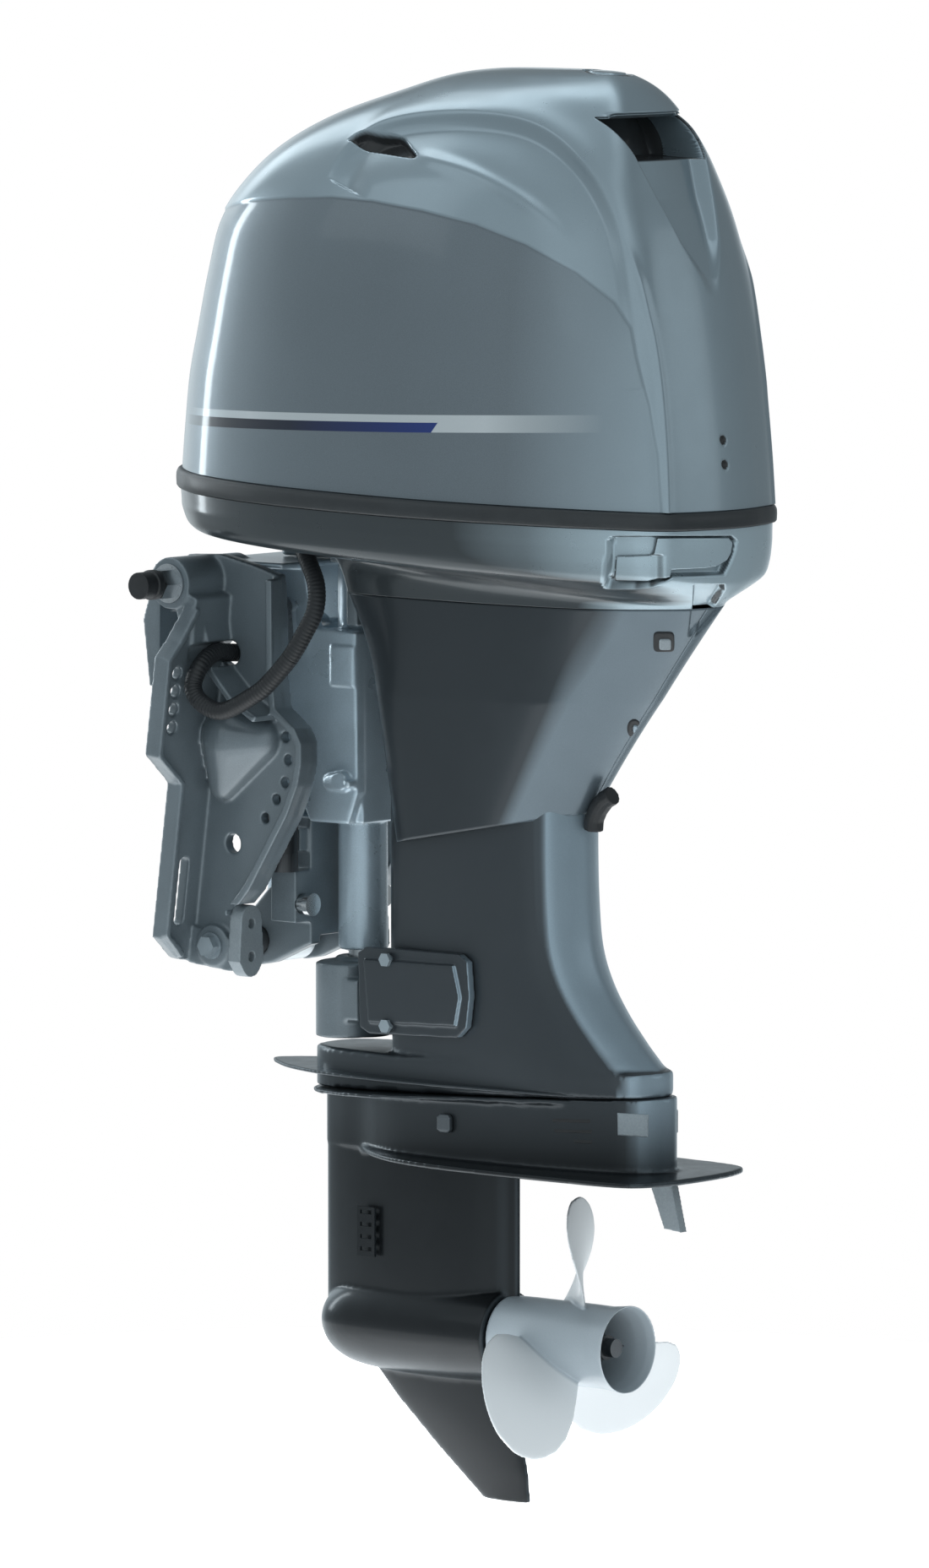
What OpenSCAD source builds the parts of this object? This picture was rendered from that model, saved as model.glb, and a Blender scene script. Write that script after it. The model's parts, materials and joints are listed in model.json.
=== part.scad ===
// Outboard motor, long shaft, power trim and tilt, on its transom bracket.
// Millimetres. +X aft, +Y starboard, +Z up. The origin is the middle of the
// tilt tube, the axis the whole motor tilts about.

/* [Tilt tube and bracket] */
// Outer radius of the tilt tube
tilt_tube_r = 11; // [10.5:0.1:11]
// Bore radius of the tilt tube, for the steering cable
tilt_bore_r = 8; // [7:0.1:8.5]
// Length of the tilt tube
tilt_tube_len = 368; // [360:1:372]
// Lean of the transom, degrees
transom_lean = 7.6; // [7:0.1:8]
// Radius of the transom bolt holes
bolt_r = 6.5; // [6:0.1:6.8]
// Distance between the two rows of upper transom bolt holes
bolt_row = 327; // [325:1:330]
// Pitch of the upper transom bolt holes along the bracket
bolt_pitch = 17.8; // [17:0.1:18]
// Distance between the two lower slots
slot_row = 251; // [248:1:252]
// Thickness of the bracket plates
plate_t = 12; // [10:0.5:12]
// Radius of the lower tie tube
tie_r = 14; // [13:0.1:14]

/* [Steering] */
// Distance from the tilt axis aft to the steering axis
steer_x = 115; // [114:1:116]
// Radius of the steering shaft
steer_r = 14; // [13:0.1:14]

/* [Drive] */
// Distance from the tilt axis aft to the driveshaft
drive_x = 235; // [234:1:236]
// Height of the propeller shaft, below the tilt axis
prop_z = -719; // [-720:1:-718]
// Propeller radius
prop_r = 143; // [138:1:143]
// Number of blades
blades = 3; // [3:1:4]
// Propeller pitch
pitch = 356; // [330:1:380]
// Pinion pitch radius, 13 teeth
pinion_r = 14; // [13.5:0.1:14.2]
// Gear pitch radius, 24 teeth
gear_r = 25.85; // [25:0.05:26]

/* [Cowling] */
// Wall of the cowling mouldings
cowl_wall = 4; // [3:0.5:4]
// Largest half width of the cowling
cowl_w = 192; // [188:1:194]
// Roundness of the curves: steps between two outline points
steps = 2; // [1:1:3]

/* [Hidden] */
$fn = 48;
run = 0.05;                       // radial clearance of a running fit
tie = [15, -353];                 // lower tie tube, X and Z
ram_top = [52, -48];              // upper end of the tilt cylinder, X and Z

// ---- curves -------------------------------------------------------------
function cr(a, b, c, d, t) = 0.5 * (2*b + (c - a)*t + (2*a - 5*b + 4*c - d)*t*t + (3*b - a - 3*c + d)*t*t*t);
// half outline, front centre to rear centre, smoothed
function half(P, n) = let (m = len(P), E = concat([[P[1][0], -P[1][1]]], P, [[P[m-2][0], -P[m-2][1]]]))
  concat([for (i = [0:m-2], j = [0:n-1]) cr(E[i], E[i+1], E[i+2], E[i+3], j/n)], [P[m-1]]);
// whole closed outline from a half one
function whole(H) = let (m = len(H)) concat(H, [for (i = [m-2:-1:1]) [H[i][0], -H[i][1]]]);
function outline(P, n = steps) = whole(half(P, n));
// an outline pulled inwards by t
function inset(O, t) = let (m = len(O)) [for (i = [0:m-1])
  let (a = O[(i+m-1)%m], b = O[(i+1)%m], d = b - a, L = max(norm(d), 0.001)) [O[i][0] + d[1]/L*t*ccw(O), O[i][1] - d[0]/L*t*ccw(O)]];
function area2(O, i = 0) = i >= len(O) ? 0 : O[i][0]*O[(i+1)%len(O)][1] - O[(i+1)%len(O)][0]*O[i][1] + area2(O, i + 1);
function ccw(O) = area2(O) > 0 ? -1 : 1;
function mixo(A, B, t) = [for (i = [0:len(A)-1]) A[i]*(1-t) + B[i]*t];
// lift an outline to 3-D: height runs evenly from za at x0 to zb at x1
function lift(O, za, zb, x0, x1) = [for (p = O) [p[0], p[1], za + (zb - za)*(p[0] - x0)/(x1 - x0)]];
function flat(O, z) = [for (p = O) [p[0], p[1], z]];
// solid through rings; end rings are flat. wrap joins the last ring to the first
module loft(R, wrap = false, flip = false, strip = false) {
  n = len(R[0]); m = len(R);
  pts = [for (r = R) each r];
  sides = [for (i = [0:m - (wrap ? 1 : 2)], j = [0:n-1]) let (a = i*n + j, b = i*n + (j+1)%n, c = ((i+1)%m)*n + (j+1)%n, d = ((i+1)%m)*n + j)
    each [[a, b, c], [a, c, d]]];
  caps = wrap ? [] : strip ? [for (i = [0:n/2-2]) let (a = i, b = i + 1, c = n-2-i, d = n-1-i, q = (m-1)*n) each [[b, a, d], [b, d, c], [q+a, q+b, q+c], [q+a, q+c, q+d]]]
    : [[for (j = [n-1:-1:0]) j], [for (j = [0:n-1]) (m-1)*n + j]];
  f = concat(sides, caps);
  polyhedron(pts, flip ? [for (q = f) [for (k = [len(q)-1:-1:0]) q[k]]] : f, convexity = 8);
}
// a strip of width w along points
function ribbon(P, w) = let (m = len(P), N = [for (i = [0:m-1]) let (a = P[max(i-1, 0)], b = P[min(i+1, m-1)], d = b - a) [-d[1], d[0]]/norm(d)])
  concat([for (i = [0:m-1]) P[i] + N[i]*w/2], [for (i = [m-1:-1:0]) P[i] - N[i]*w/2]);
// round tube along a route
function cross3(a, b) = [a[1]*b[2]-a[2]*b[1], a[2]*b[0]-a[0]*b[2], a[0]*b[1]-a[1]*b[0]];
function unit(v) = v/norm(v);
function route(P, n) = let (m = len(P)) concat([for (i = [0:m-2], j = [0:n-1]) cr(P[max(i-1,0)], P[i], P[i+1], P[min(i+2,m-1)], j/n)], [P[m-1]]);
function frames(Q, i, prev) = let (m = len(Q), t = unit(Q[min(i+1,m-1)] - Q[max(i-1,0)]), s = unit(prev - t*(prev*t)))
  i == m-1 ? [[t, s]] : concat([[t, s]], frames(Q, i+1, s));
module hose(Q, r, sides = 10) {
  F = frames(Q, 0, [0, 1, 0.2]);
  loft([for (i = [0:len(Q)-1]) let (s = F[i][1], u = cross3(F[i][0], s)) [for (k = [0:sides-1]) Q[i] + s*r*cos(360*k/sides) + u*r*sin(360*k/sides)]], flip = true);
}
// shape drawn in X and Z, standing between y0 and y1
module plate(P, y0, y1) { translate([0, y1, 0]) rotate([90, 0, 0]) linear_extrude(y1 - y0) polygon(P); }
module ybar(x, z, r, y0, y1, f = 48) { translate([x, y0, z]) rotate([-90, 0, 0]) cylinder(r = r, h = y1 - y0, $fn = f); }
module xbar(x0, x1, y, z, r, f = 48) { translate([x0, y, z]) rotate([0, 90, 0]) cylinder(r = r, h = x1 - x0, $fn = f); }
module zbar(x, y, z0, z1, r, f = 48) { translate([x, y, z0]) cylinder(r = r, h = z1 - z0, $fn = f); }
module both() { children(); mirror([0, 1, 0]) children(); }

// ---- outlines, half, front to rear ---------------------------------------
cowl_h = [[-56,0],[-50,60],[-20,112],[40,160],[120,185],[210,192],[330,181],[440,147],[520,108],[556,80],[570,40],[574,0]];
ap_top = [[205,0],[206,40],[210,68],[222,84],[250,94],[310,99],[380,98],[440,92],[485,76],[518,52],[540,26],[546,0]];
ap_mid = [[200,0],[201,38],[205,62],[216,76],[240,84],[300,88],[350,87],[395,80],[425,67],[450,46],[470,22],[476,0]];
ap_low = [[198,0],[199,34],[203,52],[213,62],[235,69],[275,70],[310,68],[335,62],[355,52],[373,38],[390,18],[396,0]];
case_a = [[209,0],[210,16],[214,30],[228,41],[262,48],[290,49],[320,48],[345,44],[362,37],[376,27],[386,13],[388,0]];
case_b = [[190,0],[191,24],[195,38],[212,50],[250,57],[290,58],[325,57],[352,52],[370,43],[386,30],[394,15],[396,0]];
case_c = [[76,0],[77,14],[84,30],[110,45],[160,54],[230,58],[310,58],[380,53],[440,45],[474,36],[487,18],[489,0]];
case_d = [[74,0],[75,14],[82,30],[110,45],[160,54],[230,58],[310,58],[380,54],[440,46],[478,37],[491,18],[494,0]];
strut  = [[73,0],[75,6],[84,14],[105,22],[140,29],[185,32],[230,30],[265,23],[290,13],[303,6],[310,3],[312,0]];

// level table of the top cowling: height front, height rear, front, rear, half width
levels = [[111,89,-56,574,192],[150,140,-52,570,191.5],[200,195,-46,564,190],[245,243,-36,557,187],[300,300,-23,546,183],
  [350,350,-8,531,176],[390,390,22,516,164],[425,425,62,503,143],[455,455,118,487,114],[480,480,190,470,80],[496,496,235,452,48],[504,504,270,435,22]];
function scaled(O, xf, xr, w) = [for (p = O) [xf + (p[0] + 56)*(xr - xf)/630, p[1]*w/192]];
function cowl_ring(L, t, dz) = let (O = scaled(outline(cowl_h), L[2] + t, L[3] - t, (L[4] - t)*cowl_w/192)) lift(O, L[0] - dz, L[1] - dz, -56, 574);

harness_route = [[131,-108,40],[147,-118,27],[164,-126,5],[168,-132,-18],[160,-138,-40],[146,-143,-64],[125,-148,-88],[107,-151,-102],[71,-155,-119],[45,-157,-112],[33,-155,-97],[35,-146,-78],[34,-125,-67],[32,-104,-68],[32,-80,-70]];

// ---- clamp bracket ---------------------------------------------------------
web = [[-22,24],[20,26],[60,18],[94,9],[97,-40],[97,-88],[101,-118],[126,-136],[134,-150],[134,-169],[129,-191],[116,-221],[67,-297],[45,-318],[38.8,-330],[38.8,-377],[-18,-369],[21,-85],[22,-50],[20,-32],[-44,-31],[-45,-105],[-58,-105],[-66,-40],[-56,-10],[-40,6]];
module bracket() {
  difference() {
    union() {
      plate(web, 88, 100);
      // hook over the transom, wider than the web
      plate([[-44,-31],[-45,-105],[-58,-105],[-66,-40],[-56,-10],[-44,2]], 86, 116);
      // boss round the tilt tube
      ybar(0, 0, 25, 88, 152);
      plate([[0,0],[33,-14],[28,-62],[14,-58]], 100, 150);
      // clamping flange, leaning with the transom
      translate([21, 0, -85]) rotate([0, transom_lean, 0]) rotate([90, 0, 90]) translate([0, 0, -plate_t])
        { linear_extrude(plate_t) polygon([[90,48],[161.6,48],[172,32],[187,16],[187,-80],[150,-110],[150,-262],[122,-285],[90,-290]]);
          // the head stands back 1 mm, clear of the transom's face
          translate([0, 0, 1]) linear_extrude(plate_t - 1) polygon([[90,72],[150,66],[161.6,48],[161.6,46],[90,46]]); }
      // raised rim of the outer edge
      translate([21, 0, -85]) rotate([0, transom_lean, 0]) rotate([90, 0, 90])
        linear_extrude(7) polygon(ribbon([[148,62],[169,30],[183,14],[183,-79],[146.5,-108],[146.5,-258],[121,-280]], 7));
      // rim along the trailing edge of the web
      plate(ribbon([[92,6],[93,-88],[97,-120],[122,-138],[129.5,-151],[129.5,-168],[125,-189],[112,-218],[64,-293],[38,-322]], 8), 98, 114);
      // rib from the top of the boss down to the pocket
      plate(ribbon([[-20,18],[14,2],[26,-30],[34,-84],[62,-112],[92,-128]], 7), 98, 134);
      // pocket moulded between flange and web
      hull() {
        translate([40, 100, -150]) sphere(r = 34, $fn = 32);
        translate([76, 100, -150]) sphere(r = 20, $fn = 32);
        translate([26, 100, -196]) sphere(r = 16, $fn = 32);
      }
      // foot boss
      ybar(tie[0], tie[1], 20, 86, 108);
      plate([[-17,-372],[38,-377],[38,-345],[-14,-335]], 98, 106);
    }
    ybar(0, 0, tilt_tube_r + run, 80, 160);
    ybar(tie[0], tie[1], 6.3, 80, 130);
    // trim pin holes
    for (p = [[102,-146],[105,-168],[101,-190],[90,-207],[76,-226]]) ybar(p[0], p[1], 5.25, 80, 140);
    ybar(35, -253, 9.5, 80, 140);
    // passage of the harness
    ybar(32, -69, 12, 80, 150);
    // seat of the anode
    translate([38.9, 60, -386]) cube([40, 60, 75.5]);
    // nothing of the pocket stands inboard of the web, or through the flange face
    translate([-40, 30, -260]) cube([200, 58, 180]);
    translate([21, 0, -85]) rotate([0, transom_lean, 0]) translate([-60 - plate_t, 84, -300]) cube([60, 110, 300]);
    // transom bolt holes
    translate([21, 0, -85]) rotate([0, transom_lean, 0]) {
      for (k = [0:3]) translate([-20, bolt_row/2, -k*bolt_pitch]) rotate([0, 90, 0]) cylinder(r = bolt_r, h = 40);
      for (z = [-190, -245]) translate([-20, slot_row/2, z]) rotate([0, 90, 0]) cylinder(r = bolt_r, h = 40);
      translate([-20, slot_row/2 - bolt_r, -245]) cube([40, 2*bolt_r, 55]);
    }
  }
}
module port_clamp_bracket() { color("#353b40") mirror([0, 1, 0]) bracket(); }
module starboard_clamp_bracket() { color("#353b40") bracket(); }
module tilt_tube() { color("#9aa2a8") difference() { ybar(0, 0, tilt_tube_r, -tilt_tube_len/2, tilt_tube_len/2); ybar(0, 0, tilt_bore_r, -200, 200); } }
module tilt_tube_nuts() { color("#b8bec2") both() difference() {
  union() { ybar(0, 0, 15.5, 154, 172, 6); ybar(0, 0, 19, 152.2, 154.2); }
  ybar(0, 0, tilt_tube_r + run, 150, 180); } }
module tilt_tube_cap() { color("#15171a") difference() {
  union() { ybar(0, 0, 13, -197, -175); ybar(0, 0, 14.5, -181, -173); }
  ybar(0, 0, tilt_tube_r + run, -184.2, -170); } }
module lower_tie_tube() { color("#1d2023") difference() { ybar(tie[0], tie[1], tie_r, -85.8, 85.8); ybar(tie[0], tie[1], 6.3, -90, 90); } }
module tie_bolt() { color("#aab0b5") { ybar(tie[0], tie[1], 6, -116, 116); both() { ybar(tie[0], tie[1], 10.5, 110.2, 118, 6); ybar(tie[0], tie[1], 13, 108.1, 110.2); } } }
module bracket_anodes() { color("#8b959c") both() difference() {
  hull() { translate([39, 77, -366]) rotate([0, 90, 0]) cylinder(r = 1, h = 15); translate([39, 111, -366]) rotate([0, 90, 0]) cylinder(r = 1, h = 15);
    translate([39, 94, -327]) rotate([0, 90, 0]) cylinder(r = 15, h = 15); translate([39, 94, -368]) rotate([0, 90, 0]) cylinder(r = 14, h = 15); }
  for (z = [-330, -362]) xbar(46, 60, 94, z, 5); } }

// ---- power trim and tilt unit ------------------------------------------------
module trim_unit_housing() { color("#3b4247") difference() {
  union() {
    both() plate([[-9,-353],[-4,-372],[15,-377.5],[34,-374],[84,-352],[84,-300],[30,-300],[-6,-338]], 27, 41);
    translate([60, -41, -345]) cube([24, 82, 116]);
    both() translate([52, 40, -330]) cube([32, 24, 50]);
    translate([60, -53, -262]) cube([20, 33, 22]);
  }
  ybar(tie[0], tie[1], tie_r + run, -60, 60);
  both() xbar(40, 100, 54, -312, 9 + run);
} }
module trim_motor() { color("#23282b") { zbar(72, -69, -279.8, -262.2, 15); zbar(72, -69, -239.8, -196, 15); zbar(72, -69, -262.2, -239.8, 14.9); } }
module trim_rams() { color("#c3c9cc") both() { xbar(58, 98, 54, -312, 9); xbar(92, 98, 54, -312, 11); } }
module ram_frame() { translate([tie[0], 0, tie[1]]) rotate([0, atan2(ram_top[0] - tie[0], ram_top[1] - tie[1]), 0]) children(); }
module tilt_cylinder() { color("#2a2f33") difference() {
  union() { ram_frame() { translate([0, 0, 20]) cylinder(r = 21, h = 205); translate([0, 0, 221]) cylinder(r = 22.5, h = 10); } ybar(tie[0], tie[1], 23, -20, 20); }
  ybar(tie[0], tie[1], tie_r + run, -30, 30);
  ram_frame() { translate([0, 0, 40]) cylinder(r = 15 + run, h = 176); translate([0, 0, 200]) cylinder(r = 7 + run, h = 60); } } }
module tilt_rod() { color("#c9ced1") ram_frame() { cylinder_rod(); } }
module cylinder_rod() { translate([0, 0, 110]) cylinder(r = 7, h = 190); translate([0, 0, 102]) cylinder(r = 15, h = 12);
  translate([0, -12, 307]) rotate([-90, 0, 0]) cylinder(r = 13, h = 24); translate([0, -34, 307]) rotate([-90, 0, 0]) cylinder(r = 7, h = 68); }

// ---- swivel bracket ----------------------------------------------------------
module swivel_bracket() { color("#3c4348") difference() {
  union() {
    both() ybar(0, 0, 24, 50, 86);
    both() plate([[-22,8],[-20,19],[84,19],[92,-20],[100,-44],[150,-46],[152,-200],[140,-232],[91,-232],[70,-190],[40,-90],[0,-24],[-20,-12]], 40, 52);
    translate([-20, -84, 13]) cube([104, 168, 6]);
    zbar(steer_x, 0, -357, 16, 24);
    translate([118, -41, -232]) cube([32, 82, 186]);
    translate([92, -41, -232]) cube([30, 82, 20]);
    // rear webs beside the steering tube
    translate([steer_x - 6, -41, -212]) cube([12, 82, 168]);
    // moulded pads on the port and starboard faces
    both() plate([[120,-60],[148,-60],[148,-98],[120,-98]], 51, 55);
    both() hull() { ybar(136, -190, 9, 51, 60, 32); ybar(118, -192, 7, 51, 56, 32); }
    both() ybar(148, -192, 4, 51, 64, 24);
  }
  ybar(0, 0, tilt_tube_r + 0.06, -100, 100);
  zbar(steer_x, 0, -360, 20, 18);
  translate([-30, -49.5, -30]) cube([56, 99, 43]);
} }
module swivel_bushes() { color("#c2b48a") for (z = [-357, -14]) difference() { zbar(steer_x, 0, z, z + 30, 18); zbar(steer_x, 0, z - 1, z + 31, steer_r + run); } }
module tilt_support_lever() { color("#aeb4b8") { plate([[66,-22],[80,-20],[84,-52],[80,-72],[70,-72],[68,-50]], -66, -60); ybar(73, -24, 9, -66, -60); ybar(73, -24, 4, -66, -52.3); ybar(75, -66, 4, -84, -60); } }

// ---- steering ---------------------------------------------------------------
module steering_shaft() { color("#8d959a") difference() { zbar(steer_x, 0, -372, 31.8, steer_r); zbar(steer_x, 0, -380, 40, 8); } }
module steering_bracket() { color("#343a3f") difference() {
  union() {
    zbar(steer_x, 0, 20, 31, 30);
    translate([28, -12, 20]) cube([90, 24, 11]); zbar(28, 0, 20, 31, 12);
    both() translate([steer_x, 20, 20]) cube([35, 30, 11]);
    translate([steer_x, -22, 20]) cube([35, 44, 11]);
    both() translate([136, 24, -40]) cube([14, 26, 62]);
  }
  zbar(steer_x, 0, 10, 40, steer_r + 0.02);
  zbar(28, 0, 10, 40, 5);
} }
module rubber_mounts() { color("#17191b") both() {
  xbar(150.2, 200, 36, -24, 13);
  xbar(150.2, 189.4, 34, -402, 13); } }
module lower_yoke() { color("#3a4146") difference() {
  union() {
    hull() { zbar(steer_x, 26, -440, -368, 29, 32); zbar(steer_x, -26, -440, -368, 29, 32); zbar(98, 0, -438, -370, 26, 32); }
    zbar(steer_x, 0, -442, -364, 26);
    both() translate([steer_x, 20, -422]) cube([35, 30, 40]);
  }
  zbar(steer_x, 0, -372.2, -360, steer_r + 0.02);
} }
cover = [[166,-352],[176,-346],[292,-345],[303,-352],[306,-385],[302,-415],[290,-426],[180,-430],[168,-424]];
module lower_mount_covers() { color("#343b40") both() difference() {
  union() { plate(cover, 58.6, 68); plate([[176,-358],[288,-356],[296,-386],[290,-414],[182,-418]], 67, 72); }
  for (z = [-356, -420]) ybar(206, z, 4.2, 50, 80); } }
module cover_bolts() { color("#a9afb3") both() for (z = [-356, -420]) { ybar(206, z, 4, 52.5, 72); ybar(206, z, 7, 72.1, 76, 6); } }

// ---- midsection --------------------------------------------------------------
module exhaust_guide() { color("#565d62") difference() {
  translate([0, 0, 46]) linear_extrude(12) polygon([[170,-60],[200,-95],[420,-90],[470,-60],[470,60],[420,90],[200,95],[170,60]]);
  zbar(drive_x, 0, 40, 70, 20); translate([290, -34, 40]) cube([120, 68, 30]); } }
module oil_pan() { color("#4a5156") difference() { translate([250, -34, -150]) cube([102, 68, 195.5]); translate([254, -30, -146]) cube([94, 60, 200]); } }
function tall(O, x0, x1, xa, xb) = [for (p = O) [x0 + (p[0] - xa)*(x1 - x0)/(xb - xa), p[1]]];
module upper_case() { color("#3a4146")
  let (A = outline(case_a), B = outline(case_b), C = outline(case_c), D = outline(case_d),
    B2 = tall(B, 190, 400, 190, 396), B3 = tall(B, 190, 426, 190, 396), B4 = tall(B, 190, 458, 190, 396), B5 = tall(B, 190, 478, 190, 396), C2 = tall(C, 76, 489, 76, 489),
    L = [[A,45.6],[A,-248],[B,-264],[B,-290],[B2,-330],[B3,-380],[B4,-425],[B5,-446],[C2,-449],[D,-466]])
    loft(concat([for (l = L) flat(l[0], l[1])], [lift(D, -491, -473, 74, 494)], [lift(inset(D, 5), -491, -473, 74, 494)],
      [for (i = [len(L)-1:-1:0]) flat(inset(L[i][0], 5), L[i][1] - (i > 7 ? 4 : 0))]), wrap = true, flip = true); }
// one half of the apron; the two meet at the centre plane with a hairline gap
function c_ring(P, t) = let (H = half(P, steps), m = len(H)) concat([for (i = [0:m-1]) [H[i][0], max(H[i][1], 0.15)]],
  [for (i = [m-1:-1:0]) let (a = H[max(i-1, 0)], b = H[min(i+1, m-1)], d = b - a, L = norm(d)) i == 0 ? [H[0][0] + t, 0.15] : i == m-1 ? [H[m-1][0] - t, 0.15] : [H[i][0] + d[1]/L*t, max(H[i][1] - d[0]/L*t, 0.5)]]);
module apron_half() {
  loft([for (k = [0:5]) let (a = [0, 0.45, 1, 1.4, 1.8, 2][k], R = a <= 1 ? mixo(c_ring(ap_top, 4), c_ring(ap_mid, 4), a) : mixo(c_ring(ap_mid, 4), c_ring(ap_low, 4), a - 1), zf = -5 - [0, 45, 95, 145, 205, 240][k], zr = -5 - [0, 42, 93, 132, 181, 204][k]) lift(R, zf, zr, 200, 396)], flip = true, strip = true); }
module apron_starboard() { color("#454d53") apron_half(); }
module apron_port() { color("#454d53") mirror([0, 1, 0]) apron_half(); }
module exhaust_outlet() { color("#16181a") hose([[403,0,-224],[405,-1,-213],[411,-2,-203],[420,-3,-194],[429,-3,-189]], 9.5, 12); }
module apron_plugs() { color("#191c1e") { translate([508, -43, -42]) rotate([0, 0, 50]) rotate([32, 0, 0]) translate([-8, -2.5, -8]) cube([16, 5, 16]); translate([454, -8, -140]) rotate([0, 125, 0]) cylinder(r = 6, h = 5); } }
splash = [[3,0],[8,9],[22,22],[60,46],[116,64],[180,72],[240,72],[300,68],[360,62],[410,54],[436,48],[446,44]];
module splash_plate() { color("#4a5257") difference() {
  translate([0, 0, -475]) linear_extrude(4) polygon(concat([for (p = half(splash, 2)) p], [for (i = [22:-1:0]) let (p = half(splash, 2)[i]) [p[0], -p[1]]]));
  translate([0, 0, -480]) linear_extrude(12) polygon(inset(outline(case_d), -0.6)); } }

// ---- gearcase ------------------------------------------------------------------
lc_top = [[74,0],[75,9],[84,19],[108,30],[160,44],[220,55],[310,58],[380,54],[440,47],[486,38],[500,20],[503,0]];
av = [[112,0],[116,9],[130,24],[168,55],[215,80],[270,93],[340,97],[420,96],[490,92],[522,80],[537,45],[540,0]];
lip = [[66,0],[70,14],[84,38],[110,58],[150,72],[190,78],[240,76],[290,66],[340,60],[400,54],[440,49],[446,47]];
module parting_cut(up = 1) { translate([74, 0, -491.3]) rotate([0, -2.454, 0]) translate([-120, -150, 0]) cube([640, 300, 120]); }
module torpedo() { translate([0, 0, prop_z]) rotate([0, 90, 0]) rotate_extrude($fn = 64) polygon([[0,72],[8,73],[18,77],[28,85],[36,97],[42,116],[45,140],[46,175],[46,235],[45,270],[43.5,299.5],[0,299.5]]); }
module lower_case() { color("#3a4146") difference() {
  union() {
    difference() { union() { translate([0, 0, -548]) linear_extrude(100) polygon(outline(lc_top));
        translate([0, 0, -492]) linear_extrude(40) polygon(concat([for (p = half(lip, 2)) p], [for (i = [22:-1:0]) let (p = half(lip, 2)[i]) [p[0], -p[1]]])); }
      parting_cut(); }
    translate([0, 0, -550]) linear_extrude(5) polygon(outline(av));
    translate([0, 0, prop_z]) linear_extrude(171) polygon(outline(strut));
    torpedo();
    plate([[112,-740],[158,-790],[211,-835],[266,-878],[326,-880],[323,-850],[298,-735]], -5, 5);
    // pads of the water inlets
    plate([[138,-602],[162,-602],[162,-652],[138,-652]], -35, 35);
    xbar(290, 312, 0, -664, 5);
  }
  zbar(drive_x, 0, prop_z, -440, 12.5);
  xbar(186, 310, 0, prop_z, 36.05);
  xbar(299.6, 330, 0, prop_z, 44);
  zbar(120, 0, -650, -440, 5.5);
  // hollow of the upper body
  translate([0, 0, -536]) linear_extrude(100) difference() { polygon(inset(outline(lc_top), 6)); translate([180, -70]) square([110, 140]); translate([104, -70]) square([32, 140]); }
  // water inlets
  for (z = [-646, -634, -622, -610]) translate([141, -40, z]) cube([18, 80, 4]);
  // slots over the exhaust relief
  for (k = [0:2]) both() translate([402 + (k == 2 ? 14 : 0), 30, -507 - 9*k]) cube([k == 2 ? 24 : 38, 40, 3]);
} }
module water_inlet_screens() { color("#1c1f21") both() difference() { translate([139, 35.1, -651]) cube([22, 2.4, 48]); for (z = [-646, -634, -622, -610]) translate([143, 30, z]) cube([14, 12, 4]); } }
module trim_tab() { color("#78848b") { plate([[474,-550.2],[502,-550.2],[514,-600],[494,-598]], -5, 5); zbar(488, 0, -556, -550.2, 9); } }
module gearcase_anode() { color("#7c868c") both() translate([262, 59.2, -516]) hull() { translate([0, 0, 0]) cube([16, 5, 12]); translate([3, 0, -3]) cube([10, 4, 18]); } }
module water_pump_housing() { color("#2b3034") difference() {
  zbar(drive_x, 0, -482.5, -440, 34); zbar(drive_x, 0, -476, -450, 28.3); zbar(drive_x, 0, -500, -430, 9 + run); } }
module water_pump_impeller() { color("#2a6b53") difference() { union() { zbar(drive_x, 0, -475, -451, 15); for (a = [0:60:300]) translate([drive_x, 0, 0]) rotate([0, 0, a]) translate([10, -1.5, -475]) cube([17.5, 3, 24]); } zbar(drive_x, 0, -500, -430, 9); } }
module driveshaft() { color("#b4b9bc") zbar(drive_x, 0, prop_z + 26.5, 53, 9 - 0.0); }
module pinion_gear() { color("#a7adb1") difference() {
  translate([drive_x, 0, prop_z]) rotate_extrude($fn = 48) polygon([[0,17.5],[9.1,17.0],[pinion_r - 0.3,gear_r],[pinion_r - 2,gear_r + 3],[0,gear_r + 3]]);
  zbar(drive_x, 0, prop_z + 26.5, prop_z + 40, 9);
  for (k = [0:12]) translate([drive_x, 0, prop_z]) rotate([0, 0, 360*k/13]) translate([pinion_r - 1.6, -0.8, gear_r - 0.2]) cube([4, 1.6, 5]); } }
module bevel(dir) { difference() {
  translate([drive_x, 0, prop_z]) rotate([0, 90*dir, 0]) rotate_extrude($fn = 64) polygon([[12.4,9.3],[16.6,9.3],[gear_r - 0.3,pinion_r + 0.3],[gear_r + 1,pinion_r + 3],[gear_r + 1,pinion_r + 10],[18,pinion_r + 22],[12.4,pinion_r + 22]]);
  for (k = [0:23]) translate([drive_x, 0, prop_z]) rotate([360*k/24, 0, 0]) translate([dir > 0 ? pinion_r + 1.5 : -pinion_r - 6.5, -1, gear_r - 0.6]) cube([5, 2, 4]); } }
module forward_gear() { color("#a7adb1") bevel(-1); }
module reverse_gear() { color("#a7adb1") bevel(1); }
module clutch_dog() { color("#80878c") difference() { xbar(drive_x - 4.2, drive_x + 4.2, 0, prop_z, 15.6); xbar(drive_x - 20, drive_x + 20, 0, prop_z, 12 + run); for (a = [0:60:300]) translate([0, 0, prop_z]) rotate([a, 0, 0]) translate([drive_x + 1, -1.5, 13.4]) cube([6, 3, 4]); } }
module shift_rod() { color("#9ea5a9") { zbar(120, 0, -640, -460, 5); translate([120, -3, -465]) cube([26, 6, 5]); } }
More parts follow.
